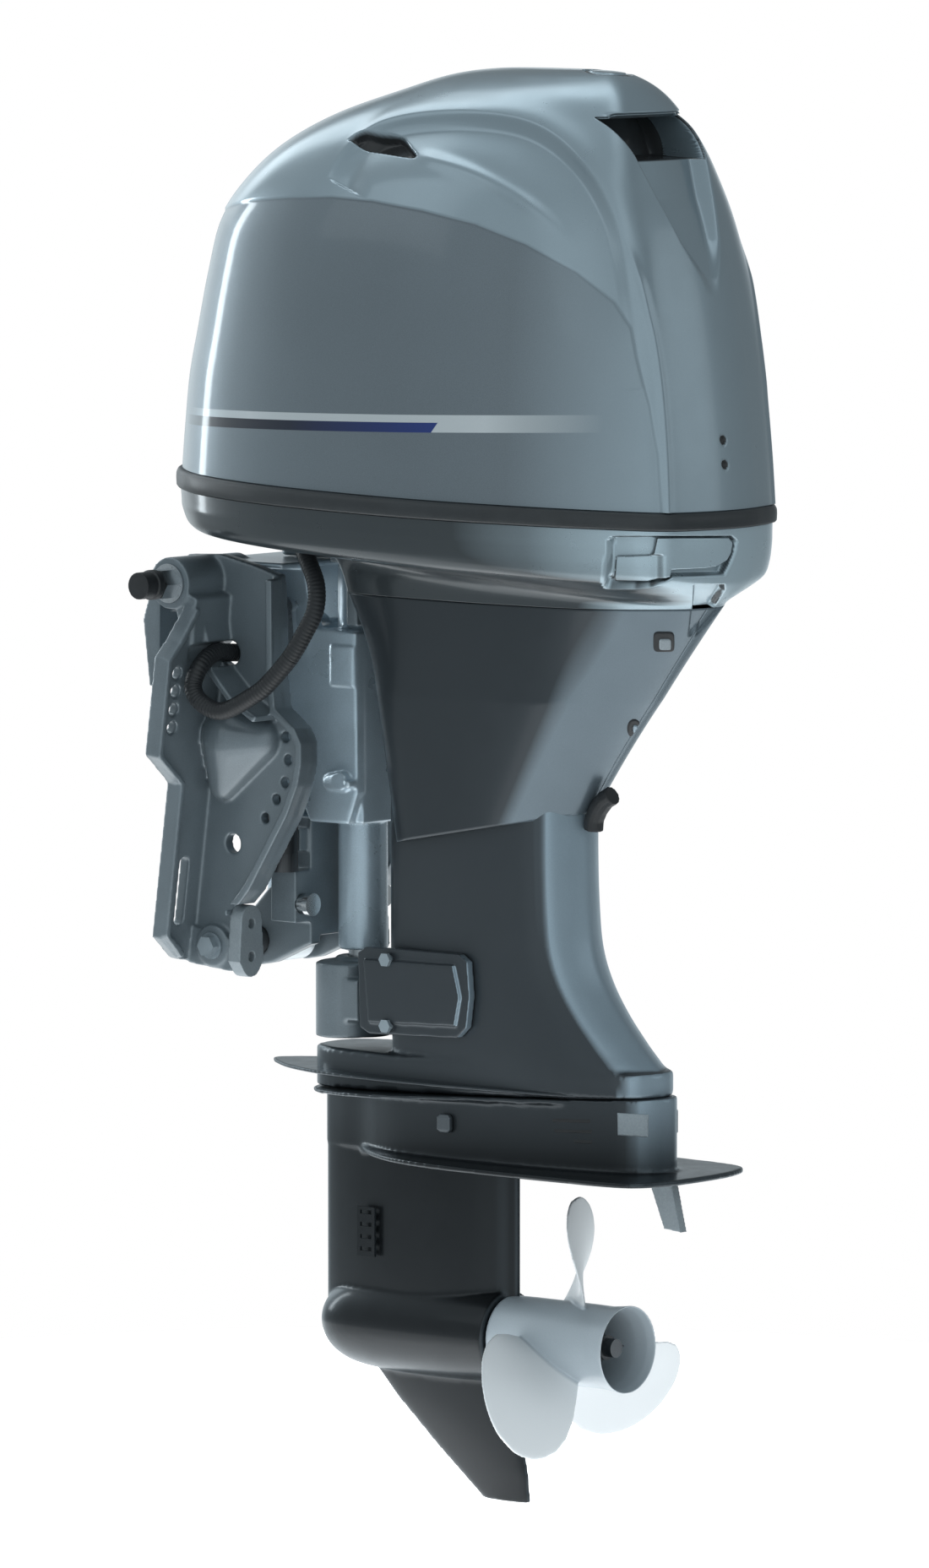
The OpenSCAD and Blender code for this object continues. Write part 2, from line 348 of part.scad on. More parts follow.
module bearing_carrier() { color("#70797f") difference() {
  union() { xbar(274, 299, 0, prop_z, 36); xbar(272.5, 274, 0, prop_z, 20); }
  xbar(260, 310, 0, prop_z, 12 + run); for (a = [45:90:315]) translate([0, 0, prop_z]) rotate([a, 0, 0]) xbar(284, 310, 0, 26, 5, 24); } }

// ---- propeller -----------------------------------------------------------------
module propeller_shaft() { color("#b4b9bc") { xbar(192, 396, 0, prop_z, 12); xbar(396, 432, 0, prop_z, 9); } }
function chord(r) = lookup(r, [[36,72],[55,92],[80,116],[100,124],[115,118],[127,98],[135,74],[140,48],[143,20]]);
function rake(r) = 2 + 0.16*(r - 36);
function skew(r) = 9 - 14*pow((r - 36)/107, 2);
function bt(r) = 3.0 + 5.0*(1 - (r - 36)/107);
function blade_pt(r, u, side) = let (b = atan2(pitch, 2*PI*r), c = chord(r), a = skew(r) + u*c*cos(b)/r*180/PI, th = bt(r)*(1 - 3.4*u*u)/2*side, x = 372 + rake(r) - u*c*sin(b) + th*cos(b), aa = a + th*sin(b)/r*180/PI) [x, r*sin(aa), r*cos(aa)];
module blade() { us = [-0.5, -0.42, -0.28, -0.1, 0.1, 0.28, 0.42, 0.5];
  loft([for (r = [36, 50, 66, 82, 98, 112, 124, 133, 139, 142.4]) let (R = min(r, prop_r)) concat([for (u = us) blade_pt(R, u, 1)], [for (k = [6:-1:1]) blade_pt(R, us[k], -1)])], flip = true); }
module propeller() { color("#c8ced2") translate([0, 0, prop_z]) {
  difference() {
    rotate([0, 90, 0]) rotate_extrude($fn = 64) polygon([[34,301],[39,301],[40,330],[40,400],[39.5,425],[42.5,447],[39.5,447],[36,425],[35.5,400],[34,330]]);
  }
  rotate([0, 90, 0]) rotate_extrude($fn = 48) polygon([[12.02,304],[20,304],[21,396],[12.02,396]]);
  for (k = [0:2]) rotate([120*k + 60, 0, 0]) translate([315, -3, 19.6]) cube([75, 6, 15.8]);
  for (k = [0:blades-1]) rotate([-360*k/blades, 0, 0]) blade();
} }
module propeller_nut() { color("#565c60") translate([0, 0, prop_z]) { difference() { union() { xbar(396.2, 401, 0, 0, 19); xbar(401, 414, 0, 0, 14.5, 6); xbar(414, 421, 0, 0, 12, 24); } xbar(390, 430, 0, 0, 9.02); translate([414.5, -20, -1.6]) cube([10, 40, 3.2]); }
    translate([426, 0, 0]) ybar(0, 0, 1.4, 9.4, 17, 16); } }

// ---- cowling -------------------------------------------------------------------
module top_cowl() { color("#6e7f88") difference() {
  loft(concat([for (i = [len(levels)-1:-1:0]) cowl_ring(levels[i], cowl_wall + (i > 6 ? (i-6)*1.2 : 0), i > 6 ? 4 : i > 4 ? 2 : 0)], [for (L = levels) cowl_ring(L, 0, 0)]));
  // air intake at the top of the rear face, and its two side vents
  translate([470, -34, 398]) rotate([0, -12, 0]) cube([80, 68, 44]);
} }
module cowl_seal() { color("#2d3236")
  let (f = function(w, x) scaled(outline(cowl_h), -56 - x, 574 + x, w))
  loft([lift(f(195.5, 4), 92, 72, -56, 574), lift(f(196, 4.5), 104, 83, -56, 574), lift(f(194, 2.5), 110.6, 88.6, -56, 574), lift(f(184, -8), 110.6, 88.6, -56, 574), lift(f(184, -8), 92, 72, -56, 574)], wrap = true); }
bc = [[0, 91.6, 71.6], [0.01, 72, 52], [0.05, 57, 36], [0.15, 50, 22], [0.4, 47, 12], [0.65, 44, 5], [0.82, 37, 1], [0.94, 20, -2], [1, -4.6, -4.6]];
function bc_ring(b, t) = let (O = mixo(inset(outline(cowl_h), t), inset(outline(ap_top), t), b[0])) lift(O, b[1], b[2], -56 + 261*b[0], 574 - 28*b[0]);
module bottom_cowl() { color("#66757d") difference() {
  loft(concat([for (b = bc) bc_ring(b, 0)], [for (i = [len(bc)-1:-1:0]) let (b = bc[i], k = i == 0 || i == len(bc)-1 ? 0 : 3.5) bc_ring([b[0], b[1] + k, b[2] + k], 4)]), wrap = true, flip = true);
  // pocket of the latch lever, in the port quarter
  translate([500, -130, 16]) cube([90, 150, 48]);
  zbar(131, -108, 20, 75, 12);
  translate([131, -108, 45]) rotate([0, 128, -32]) cylinder(r = 10, h = 30);
} }
module cowl_latch() { color("#6f8089") translate([0, 0, 20])
  linear_extrude(40) polygon([[508,-110],[546,-86],[559,-72],[567,-40],[571,-8],[571,16],[566,16],[566,-8],[562,-39],[555,-69],[543,-82],[506,-106]]); }

// ---- power head ---------------------------------------------------------------
bores = [96, 168, 240, 312];
module cylinder_block() { color("#4d555a") difference() {
  union() { translate([172, -78, 60]) cube([212, 156, 288]); translate([200, -86, 70]) cube([60, 172, 268]); }
  zbar(drive_x, 0, 66, 342, 58);
  zbar(drive_x, 0, 50, 360, 18.1);
  for (z = bores) xbar(260, 400, 0, z, 32.5);
} }
module cylinder_head() { color("#59626a") difference() {
  union() { translate([384.2, -72, 64]) cube([52, 144, 280]); translate([436, -56, 70]) cube([48, 112, 268]); }
  for (z = bores) xbar(380, 396, 0, z, 30);
  zbar(452, 28, 60, 350, 15); } }
module crankshaft() { color("#9aa1a5") { zbar(drive_x, 0, 60, 100, 18.05); zbar(drive_x, 0, 308, 372, 18.05);
  for (k = [0:3]) translate([drive_x, 0, bores[k] - 22]) rotate([0, 0, k == 0 || k == 3 ? 0 : 180]) { cylinder(r = 44, h = 9); translate([0, 0, 35]) cylinder(r = 44, h = 9); translate([30, 0, 8]) cylinder(r = 20, h = 28); }
  for (k = [0:2]) zbar(drive_x, 0, bores[k] + 21.9, bores[k+1] - 21.9, 18.05);
  difference() { zbar(drive_x, 0, 53, 60.2, 16); zbar(drive_x, 0, 50, 53.1, 9.1); }
  zbar(drive_x, 0, 352, 366, 24); } }
module flywheel() { color("#3b4145") difference() { union() { zbar(drive_x, 0, 372.2, 384, 96); zbar(drive_x, 0, 384, 396, 84); } zbar(drive_x, 0, 384, 400, 70); zbar(drive_x, 0, 370, 400, 8); for (a = [0:60:300]) translate([drive_x, 0, 0]) rotate([0, 0, a]) zbar(45, 0, 370, 400, 12); } }
module camshaft() { color("#9aa1a5") { zbar(452, 28, 62, 352, 11); for (k = [0:7]) translate([452, 28, 80 + 34*k]) rotate([0, 0, 90*k]) translate([2.4, 0, 0]) cylinder(r = 11.8, h = 12); zbar(452, 28, 351, 365, 44); } }
module intake_manifold() { color("#23272a") difference() {
  union() { translate([212, -142, 84]) cube([170, 46, 240]); for (z = bores) ybar(400, z, 15, -118, -72.4); for (z = bores) translate([380, -124, z - 15]) cube([32, 20, 30]); xbar(150, 214, -118, 290, 27); }
  xbar(140, 260, -118, 290, 22); zbar(176, -118, 250, 330, 3.05); } }
module throttle_shaft() { color("#b0a06a") { zbar(176, -118, 262, 326, 3); difference() { translate([176, -118, 290]) rotate([0, 90, 0]) rotate([0, 0, 0]) translate([0, 0, -1]) cylinder(r = 21.6, h = 2); } translate([160, -121, 322]) cube([34, 6, 4]); } }
module starter_motor() { color("#1f2326") { zbar(134, 92, 150, 300, 34); zbar(134, 92, 300, 330, 16); translate([150, 56, 160]) cube([21.6, 30, 120]); } }
module harness_upper() { color("#17191b") hose(route([for (i = [0:5]) harness_route[i]], 3), 8); }
module harness_lower() { color("#17191b") hose(route(concat([[143.7,-143.6,-66.6]], [for (i = [6:14]) harness_route[i]]), 3), 8); }

port_clamp_bracket();
starboard_clamp_bracket();
tilt_tube();
tilt_tube_nuts();
tilt_tube_cap();
lower_tie_tube();
tie_bolt();
bracket_anodes();
trim_unit_housing();
trim_motor();
trim_rams();
tilt_cylinder();
tilt_rod();
swivel_bracket();
swivel_bushes();
tilt_support_lever();
steering_shaft();
steering_bracket();
rubber_mounts();
lower_yoke();
lower_mount_covers();
cover_bolts();
exhaust_guide();
oil_pan();
upper_case();
apron_port();
apron_starboard();
exhaust_outlet();
apron_plugs();
splash_plate();
lower_case();
water_inlet_screens();
trim_tab();
gearcase_anode();
water_pump_housing();
water_pump_impeller();
driveshaft();
pinion_gear();
forward_gear();
reverse_gear();
clutch_dog();
shift_rod();
bearing_carrier();
propeller_shaft();
propeller();
propeller_nut();
bottom_cowl();
cowl_seal();
top_cowl();
cowl_latch();
cylinder_block();
cylinder_head();
crankshaft();
flywheel();
camshaft();
intake_manifold();
throttle_shaft();
starter_motor();
harness_upper();
harness_lower();
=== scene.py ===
import bpy, bmesh, json, math
import numpy as np
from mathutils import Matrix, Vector

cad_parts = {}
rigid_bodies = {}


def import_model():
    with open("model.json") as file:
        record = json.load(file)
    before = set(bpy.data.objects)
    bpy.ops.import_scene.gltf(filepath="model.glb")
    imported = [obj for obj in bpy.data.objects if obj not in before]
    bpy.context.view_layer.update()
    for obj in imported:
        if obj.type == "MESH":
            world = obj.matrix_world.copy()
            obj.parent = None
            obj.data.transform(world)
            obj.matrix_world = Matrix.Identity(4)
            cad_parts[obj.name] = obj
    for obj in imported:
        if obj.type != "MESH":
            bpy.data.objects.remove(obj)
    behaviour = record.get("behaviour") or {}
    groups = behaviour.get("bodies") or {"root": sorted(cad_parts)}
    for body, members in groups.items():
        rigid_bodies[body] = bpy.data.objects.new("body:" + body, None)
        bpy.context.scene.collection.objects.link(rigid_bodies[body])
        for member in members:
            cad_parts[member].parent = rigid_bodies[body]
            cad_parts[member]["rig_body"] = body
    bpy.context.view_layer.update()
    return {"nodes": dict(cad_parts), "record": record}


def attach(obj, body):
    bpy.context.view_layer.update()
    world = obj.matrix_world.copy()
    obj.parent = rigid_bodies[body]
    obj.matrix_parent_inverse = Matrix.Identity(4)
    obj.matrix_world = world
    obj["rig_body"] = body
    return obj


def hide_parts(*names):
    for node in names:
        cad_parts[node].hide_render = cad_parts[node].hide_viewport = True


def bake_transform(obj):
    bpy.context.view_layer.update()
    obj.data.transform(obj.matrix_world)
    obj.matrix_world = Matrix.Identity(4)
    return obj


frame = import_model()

NODES = frame["nodes"]
MM = 0.001

# ------------------------------------------------------------------ camera
A, E = math.radians(40.0), math.radians(5.5)
back = Vector((math.sin(A) * math.cos(E), -math.cos(A) * math.cos(E), math.sin(E)))
cam_d = bpy.data.cameras.new("camera")
cam = bpy.data.objects.new("camera", cam_d)
bpy.context.scene.collection.objects.link(cam)
cam.location = Vector((0.243, 0, -0.190)) + back * 11.26
cam.rotation_euler = back.to_track_quat("Z", "Y").to_euler()
cam_d.sensor_width = 36
cam_d.lens = 36 * 13900 / 1857
cam_d.clip_end = 200
bpy.context.scene.camera = cam
bpy.context.scene.view_settings.view_transform = "Standard"

# ------------------------------------------------------------------ shader helpers
def new_mat(name):
    m = bpy.data.materials.new(name)
    m.use_nodes = True
    nt = m.node_tree
    nt.nodes.clear()
    out = nt.nodes.new("ShaderNodeOutputMaterial")
    b = nt.nodes.new("ShaderNodeBsdfPrincipled")
    nt.links.new(b.outputs[0], out.inputs[0])
    return m, nt, b

def noise(nt, scale, detail=4, rough=0.6, coord=None, dist=0.0):
    if coord is None:
        tc = nt.nodes.new("ShaderNodeTexCoord"); coord = tc.outputs["Object"]
    n = nt.nodes.new("ShaderNodeTexNoise")
    n.inputs["Scale"].default_value = scale
    n.inputs["Detail"].default_value = detail
    n.inputs["Roughness"].default_value = rough
    n.inputs["Distortion"].default_value = dist
    nt.links.new(coord, n.inputs["Vector"])
    return n.outputs["Fac"]

def ramp(nt, fac, stops):
    r = nt.nodes.new("ShaderNodeValToRGB")
    r.color_ramp.elements[0].position = stops[0][0]; r.color_ramp.elements[0].color = (*stops[0][1], 1)
    r.color_ramp.elements[1].position = stops[1][0]; r.color_ramp.elements[1].color = (*stops[1][1], 1)
    for p, c in stops[2:]:
        e = r.color_ramp.elements.new(p); e.color = (*c, 1)
    nt.links.new(fac, r.inputs["Fac"])
    return r.outputs["Color"]

def maprange(nt, fac, a, b, c, d):
    m = nt.nodes.new("ShaderNodeMapRange")
    m.inputs[1].default_value = a; m.inputs[2].default_value = b
    m.inputs[3].default_value = c; m.inputs[4].default_value = d
    nt.links.new(fac, m.inputs[0])
    return m.outputs[0]

def mixc(nt, fac, a, b):
    m = nt.nodes.new("ShaderNodeMix"); m.data_type = "RGBA"
    if isinstance(fac, (int, float)): m.inputs[0].default_value = fac
    else: nt.links.new(fac, m.inputs[0])
    for s, v in ((6, a), (7, b)):
        if isinstance(v, tuple): m.inputs[s].default_value = (*v, 1)
        else: nt.links.new(v, m.inputs[s])
    return m.outputs[2]

def bump(nt, b, height, strength, distance):
    bp = nt.nodes.new("ShaderNodeBump")
    bp.inputs["Strength"].default_value = strength
    bp.inputs["Distance"].default_value = distance
    nt.links.new(height, bp.inputs["Height"])
    nt.links.new(bp.outputs[0], b.inputs["Normal"])

# pointiness, used to paint convex edges lighter: a painted edge highlight
def edge_highlight(nt):
    g = nt.nodes.new("ShaderNodeNewGeometry")
    return g.outputs["Pointiness"]

def attr(nt, name):
    a = nt.nodes.new("ShaderNodeAttribute"); a.attribute_name = name
    return a.outputs["Fac"]

def paint(name, col, metallic=0.55, rough=0.32, coat=0.6, flake=1.0, dark=0.82, speck=0.10):
    """Metallic paint: fine flake, slow tone drift, slight orange peel, convex edges painted lighter as a painted edge
    highlight.
    """
    m, nt, b = new_mat(name)
    base = tuple(c for c in col)
    lo = tuple(c * dark for c in col); hi = tuple(min(c * (1 + speck), 1) for c in col)
    f1 = noise(nt, 2600 * flake, 2, 0.7)
    f2 = noise(nt, 6, 3, 0.5)
    c1 = ramp(nt, f1, [(0.30, lo), (0.72, hi)])
    c2 = ramp(nt, f2, [(0.3, tuple(c * 0.93 for c in col)), (0.7, tuple(min(c * 1.05, 1) for c in col))])
    col_out = mixc(nt, 0.5, c1, c2)
    # convex edges mixed toward a lighter tone: painted edge highlight
    edge = maprange(nt, edge_highlight(nt), 0.56, 0.66, 0.0, 0.35)
    col_out = mixc(nt, edge, col_out, tuple(min(c * 1.7 + 0.05, 1) for c in col))
    nt.links.new(col_out, b.inputs["Base Color"])
    nt.links.new(maprange(nt, noise(nt, 40, 5, 0.6), 0.3, 0.7, rough * 0.88, rough * 1.15), b.inputs["Roughness"])
    b.inputs["Metallic"].default_value = metallic
    b.inputs["Coat Weight"].default_value = coat
    b.inputs["Coat Roughness"].default_value = 0.12
    bump(nt, b, noise(nt, 420, 3, 0.5), 0.05, 0.0004)
    return m, nt, b

def cast(name, col, metallic=0.35, rough=0.42, grain=900, bstr=0.25, coat=0.25):
    m, nt, b = new_mat(name)
    f = noise(nt, grain, 4, 0.65)
    g = noise(nt, 18, 5, 0.6)
    c1 = ramp(nt, f, [(0.3, tuple(c * 0.78 for c in col)), (0.7, tuple(min(c * 1.16, 1) for c in col))])
    c2 = ramp(nt, g, [(0.3, tuple(c * 0.85 for c in col)), (0.72, tuple(min(c * 1.15, 1) for c in col))])
    c = mixc(nt, 0.5, c1, c2)
    # convex edges mixed toward a lighter tone: painted edge highlight
    edge = maprange(nt, edge_highlight(nt), 0.54, 0.63, 0.0, 0.5)
    c = mixc(nt, edge, c, tuple(min(v * 2.2 + 0.06, 1) for v in col))
    nt.links.new(c, b.inputs["Base Color"])
    nt.links.new(maprange(nt, g, 0.3, 0.7, rough * 0.8, rough * 1.25), b.inputs["Roughness"])
    b.inputs["Metallic"].default_value = metallic
    b.inputs["Coat Weight"].default_value = coat
    b.inputs["Coat Roughness"].default_value = 0.2
    bump(nt, b, f, bstr, 0.0006)
    return m

def brushed(name, col, rough=0.28, metallic=1.0):
    m, nt, b = new_mat(name)
    tc = nt.nodes.new("ShaderNodeTexCoord")
    mp = nt.nodes.new("ShaderNodeMapping"); mp.inputs["Scale"].default_value = (1, 14, 1)
    nt.links.new(tc.outputs["Object"], mp.inputs[0])
    f = noise(nt, 300, 4, 0.7, coord=mp.outputs[0])
    nt.links.new(ramp(nt, f, [(0.25, tuple(c * 0.8 for c in col)), (0.75, tuple(min(1, c * 1.1) for c in col))]), b.inputs["Base Color"])
    nt.links.new(maprange(nt, f, 0.2, 0.8, rough * 0.75, rough * 1.4), b.inputs["Roughness"])
    b.inputs["Metallic"].default_value = metallic
    bump(nt, b, f, 0.12, 0.0003)
    return m

def rubber(name, col, rough=0.55, grain=1400, bstr=0.35, spec=0.4):
    m, nt, b = new_mat(name)
    f = noise(nt, grain, 3, 0.7); g = noise(nt, 30, 4, 0.6)
    nt.links.new(mixc(nt, 0.5, ramp(nt, f, [(0.3, tuple(c * 0.75 for c in col)), (0.7, tuple(c * 1.25 for c in col))]), ramp(nt, g, [(0.3, tuple(c * 0.8 for c in col)), (0.7, tuple(c * 1.4 + 0.004 for c in col))])), b.inputs["Base Color"])
    nt.links.new(maprange(nt, g, 0.3, 0.7, rough * 0.8, rough * 1.2), b.inputs["Roughness"])
    b.inputs["Specular IOR Level"].default_value = spec
    bump(nt, b, f, bstr, 0.0004)
    return m

COWL = (0.275, 0.346, 0.390)
PANEL = (0.145, 0.177, 0.200)
LEG = (0.046, 0.054, 0.061)
APRON = (0.036, 0.043, 0.049)
# lighter tone for surfaces that look aft: painted light, not a second paint
AFT_LIT_TONE = (0.165, 0.210, 0.243)

def aft_light_mask(nt, a, b2):
    """1 where the casting's own surface looks aft; the lighter tone mixed in there is painted light"""
    tc = nt.nodes.new("ShaderNodeTexCoord"); sp = nt.nodes.new("ShaderNodeSeparateXYZ")
    nt.links.new(tc.outputs["Normal"], sp.inputs[0])
    return maprange(nt, sp.outputs[0], a, b2, 0.0, 1.0)

# dark paint with a lighter tone painted on the surfaces that look aft (painted light)
def aft_lit_paint(name, dark, light, a, b2, rough=0.36, low=None):
    m, nt, b = paint(name, dark, 0.5, rough, 0.5)
    src = b.inputs["Base Color"].links[0].from_socket
    f1 = noise(nt, 2300, 2, 0.7)
    lt = ramp(nt, f1, [(0.3, tuple(c * 0.86 for c in light)), (0.72, tuple(c * 1.1 for c in light))])
    c = mixc(nt, aft_light_mask(nt, a, b2), src, lt)
    # optional painted shade: near-black mixed in below a height (low = top, bottom, amount), darker towards the bottom
    if low:
        tc = nt.nodes.new("ShaderNodeTexCoord"); sp = nt.nodes.new("ShaderNodeSeparateXYZ"); nt.links.new(tc.outputs["Object"], sp.inputs[0])
        c = mixc(nt, maprange(nt, sp.outputs[2], low[0], low[1], 0.0, low[2]), c, (0.004, 0.005, 0.006))
    nt.links.new(c, b.inputs["Base Color"])
    return m

def cowl_paint():
    m, nt, b = new_mat("cowl_paint")
    tc = nt.nodes.new("ShaderNodeTexCoord")
    f1 = noise(nt, 2400, 2, 0.7); f2 = noise(nt, 5, 3, 0.5)
    top = mixc(nt, 0.5, ramp(nt, f1, [(0.3, tuple(c * 0.85 for c in COWL)), (0.72, tuple(c * 1.12 for c in COWL))]), ramp(nt, f2, [(0.3, tuple(c * 0.94 for c in COWL)), (0.7, tuple(c * 1.05 for c in COWL))]))
    f3 = noise(nt, 1500, 3, 0.75)
    pan = mixc(nt, 0.55, ramp(nt, f3, [(0.28, tuple(c * 0.66 for c in PANEL)), (0.74, tuple(c * 1.4 for c in PANEL))]), ramp(nt, f2, [(0.3, tuple(c * 0.92 for c in PANEL)), (0.7, tuple(c * 1.07 for c in PANEL))]))
    # attributes: signed distance to the side panel (mm), to the vents, and the decal coordinates
    k = maprange(nt, attr(nt, "panel"), -0.6, 0.6, 0.0, 1.0)
    # the panel's tone opens up towards the rear quarter
    sep = nt.nodes.new("ShaderNodeSeparateXYZ"); nt.links.new(tc.outputs["Object"], sep.inputs[0])
    pan = mixc(nt, maprange(nt, sep.outputs[0], 0.42, 0.54, 0.0, 0.85), pan, top)
    pan = mixc(nt, maprange(nt, sep.outputs[0], 0.30, -0.02, 0.0, 0.30), pan, top)
    c = mixc(nt, k, top, pan)
    silver = mixc(nt, f1, (0.50, 0.55, 0.57), (0.62, 0.66, 0.68))
    def ma(op, a, b2):
        q = nt.nodes.new("ShaderNodeMath"); q.operation = op
        for i, vv in enumerate((a, b2)):
            if isinstance(vv, (int, float)): q.inputs[i].default_value = vv
            else: nt.links.new(vv, q.inputs[i])
        return q.outputs[0]
    X, Z = sep.outputs[0], sep.outputs[2]
    zs = ma("ADD", ma("MULTIPLY", ma("SUBTRACT", X, 0.089), 0.022), 0.172)
    below = ma("SUBTRACT", zs, Z)
    sil = ma("MULTIPLY", maprange(nt, below, 0.0, 0.0004, 0, 1), maprange(nt, below, 0.0164, 0.0168, 1, 0))
    on = maprange(nt, attr(nt, "panel"), 1.0, 3.0, 0.0, 1.0)
    sil = ma("MULTIPLY", ma("MULTIPLY", sil, on), ma("MULTIPLY", maprange(nt, X, 0.02, 0.13, 0, 1), maprange(nt, X, 0.40, 0.505, 1, 0)))
    dkm = ma("MULTIPLY", maprange(nt, below, 0.0072, 0.0076, 0, 1), maprange(nt, below, 0.0166, 0.0170, 1, 0))
    endx = ma("ADD", ma("MULTIPLY", ma("SUBTRACT", Z, 0.168), 0.7), 0.353)
    dkm = ma("MULTIPLY", ma("MULTIPLY", dkm, on), ma("MULTIPLY", maprange(nt, X, 0.0, 0.07, 0, 1), maprange(nt, ma("SUBTRACT", endx, X), -0.0003, 0.0003, 0, 1)))
    c = mixc(nt, sil, c, silver)
    dk = ramp(nt, maprange(nt, sep.outputs[0], 0.05, 0.35, 0.0, 1.0), [(0.0, (0.02, 0.024, 0.028)), (0.45, (0.008, 0.014, 0.035)), (1.0, (0.010, 0.035, 0.20))])
    c = mixc(nt, dkm, c, dk)
    # near-black painted shade inside the vent and the intake opening; the same black also marks the two small plugs and
    # the ring round the oval inset
    hole = maprange(nt, attr(nt, "hole"), -0.4, 0.4, 0.0, 1.0)
    c = mixc(nt, hole, c, (0.010, 0.0115, 0.013))
    # convex edges mixed toward pale grey: painted edge highlight
    edge = maprange(nt, edge_highlight(nt), 0.60, 0.70, 0.0, 0.3)
    c = mixc(nt, edge, c, (0.45, 0.50, 0.53))
    nt.links.new(c, b.inputs["Base Color"])
    r1 = maprange(nt, noise(nt, 30, 5, 0.6), 0.3, 0.7, 0.27, 0.34)
    r2 = maprange(nt, k, 0, 1, 0.0, 0.10)
    ad = nt.nodes.new("ShaderNodeMath"); ad.operation = "ADD"; nt.links.new(r1, ad.inputs[0]); nt.links.new(r2, ad.inputs[1])
    ad2 = nt.nodes.new("ShaderNodeMath"); ad2.operation = "ADD"; nt.links.new(ad.outputs[0], ad2.inputs[0]); nt.links.new(maprange(nt, hole, 0, 1, 0, 0.5), ad2.inputs[1])
    nt.links.new(ad2.outputs[0], b.inputs["Roughness"])
    nt.links.new(maprange(nt, hole, 0, 1, 0.6, 0.0), b.inputs["Metallic"])
    b.inputs["Coat Weight"].default_value = 0.7
    b.inputs["Coat Roughness"].default_value = 0.10
    bump(nt, b, noise(nt, 380, 3, 0.5), 0.04, 0.0004)
    return m

M = {}
M["cowl_paint"] = cowl_paint()
# apron, leg and tray: the lighter tone on faces that look aft is painted light; the leg's near-black mix towards the
# bottom is painted shade
M["apron_paint"] = aft_lit_paint("apron_paint", APRON, tuple(0.85 * c for c in AFT_LIT_TONE), 0.36, 0.50)
M["leg_paint"] = aft_lit_paint("leg_paint", LEG, tuple(1.7 * c for c in AFT_LIT_TONE), 0.42, 0.62, low=(-0.46, -0.55, 0.93))
M["tray_paint"] = aft_lit_paint("tray_paint", (0.044, 0.054, 0.060), (0.44, 0.55, 0.61), 0.28, 0.54, rough=0.30)
M["bracket_paint"] = cast("bracket_paint", (0.150, 0.184, 0.206), 0.3, 0.36, coat=0.5)
M["plug_paint"] = cast("plug_paint", (0.085, 0.10, 0.112), 0.4, 0.36)
M["shaft_end"] = brushed("shaft_end", (0.13, 0.14, 0.15), 0.3)
# a much lighter copy of the bracket paint for the swivel casting and the tilt cylinder: painted light on parts that sit
# in shade
M["swivel_paint_lit_copy"] = cast("swivel_paint_lit_copy", (0.42, 0.52, 0.59), 0.4, 0.30, coat=0.5)
def prop_paint():
    m, nt, b = paint("propeller_paint", (0.70, 0.73, 0.75), 0.12, 0.42, 0.35, speck=0.05, dark=0.93)
    src = b.inputs["Base Color"].links[0].from_socket
    tc = nt.nodes.new("ShaderNodeTexCoord"); sp = nt.nodes.new("ShaderNodeSeparateXYZ"); nt.links.new(tc.outputs["Object"], sp.inputs[0])
    def ma(op, a, b2=0.0):
        q = nt.nodes.new("ShaderNodeMath"); q.operation = op
        for i, vv in enumerate((a, b2)):
            if isinstance(vv, (int, float)): q.inputs[i].default_value = vv
            else: nt.links.new(vv, q.inputs[i])
        return q.outputs[0]
    dz = ma("ADD", sp.outputs[2], 0.719)
    rad = ma("SQRT", ma("ADD", ma("MULTIPLY", dz, dz), ma("MULTIPLY", sp.outputs[1], sp.outputs[1])))
    src = mixc(nt, maprange(nt, rad, 0.0455, 0.0415, 0.0, 1.0), src, mixc(nt, noise(nt, 900, 3), (0.34, 0.395, 0.435), (0.42, 0.475, 0.515)))
    c = mixc(nt, maprange(nt, rad, 0.0352, 0.0338, 0.0, 0.93), src, (0.012, 0.014, 0.016))
    nt.links.new(c, b.inputs["Base Color"])
    return m
M["propeller_paint"] = prop_paint()
M["stainless"] = brushed("stainless", (0.46, 0.49, 0.51), 0.30)
M["chromed_rod"] = brushed("chromed_rod", (0.66, 0.68, 0.69), 0.14)
M["black_coated_steel"] = cast("black_coated_steel", (0.016, 0.019, 0.022), 0.3, 0.36, 1200, 0.15)
M["gear_steel"] = brushed("gear_steel", (0.36, 0.38, 0.39), 0.35)
M["cast_engine"] = cast("cast_engine", (0.14, 0.155, 0.165), 0.6, 0.5)
M["cast_iron"] = cast("cast_iron", (0.07, 0.075, 0.08), 0.7, 0.5)
M["anode_zinc"] = cast("anode_zinc", (0.26, 0.30, 0.325), 0.35, 0.5, 500, 0.35, 0.1)
M["brass"] = brushed("brass", (0.55, 0.44, 0.2), 0.3)
M["black_rubber"] = rubber("black_rubber", (0.016, 0.018, 0.020), 0.48)
M["seal_rubber"] = rubber("seal_rubber", (0.020, 0.024, 0.027), 0.40, spec=0.5)
M["pump_rubber"] = rubber("pump_rubber", (0.02, 0.11, 0.07), 0.5)
M["black_plastic"] = rubber("black_plastic", (0.014, 0.016, 0.018), 0.45, 700, 0.2)
M["bush_plastic"] = rubber("bush_plastic", (0.5, 0.46, 0.3), 0.5)
for k, o in NODES.items():
    slot_name = next(s["material_slot"] for s in frame["record"]["subparts"] if s["node"] == k)
    o.data.materials.clear()
    o.data.materials.append(M[slot_name])
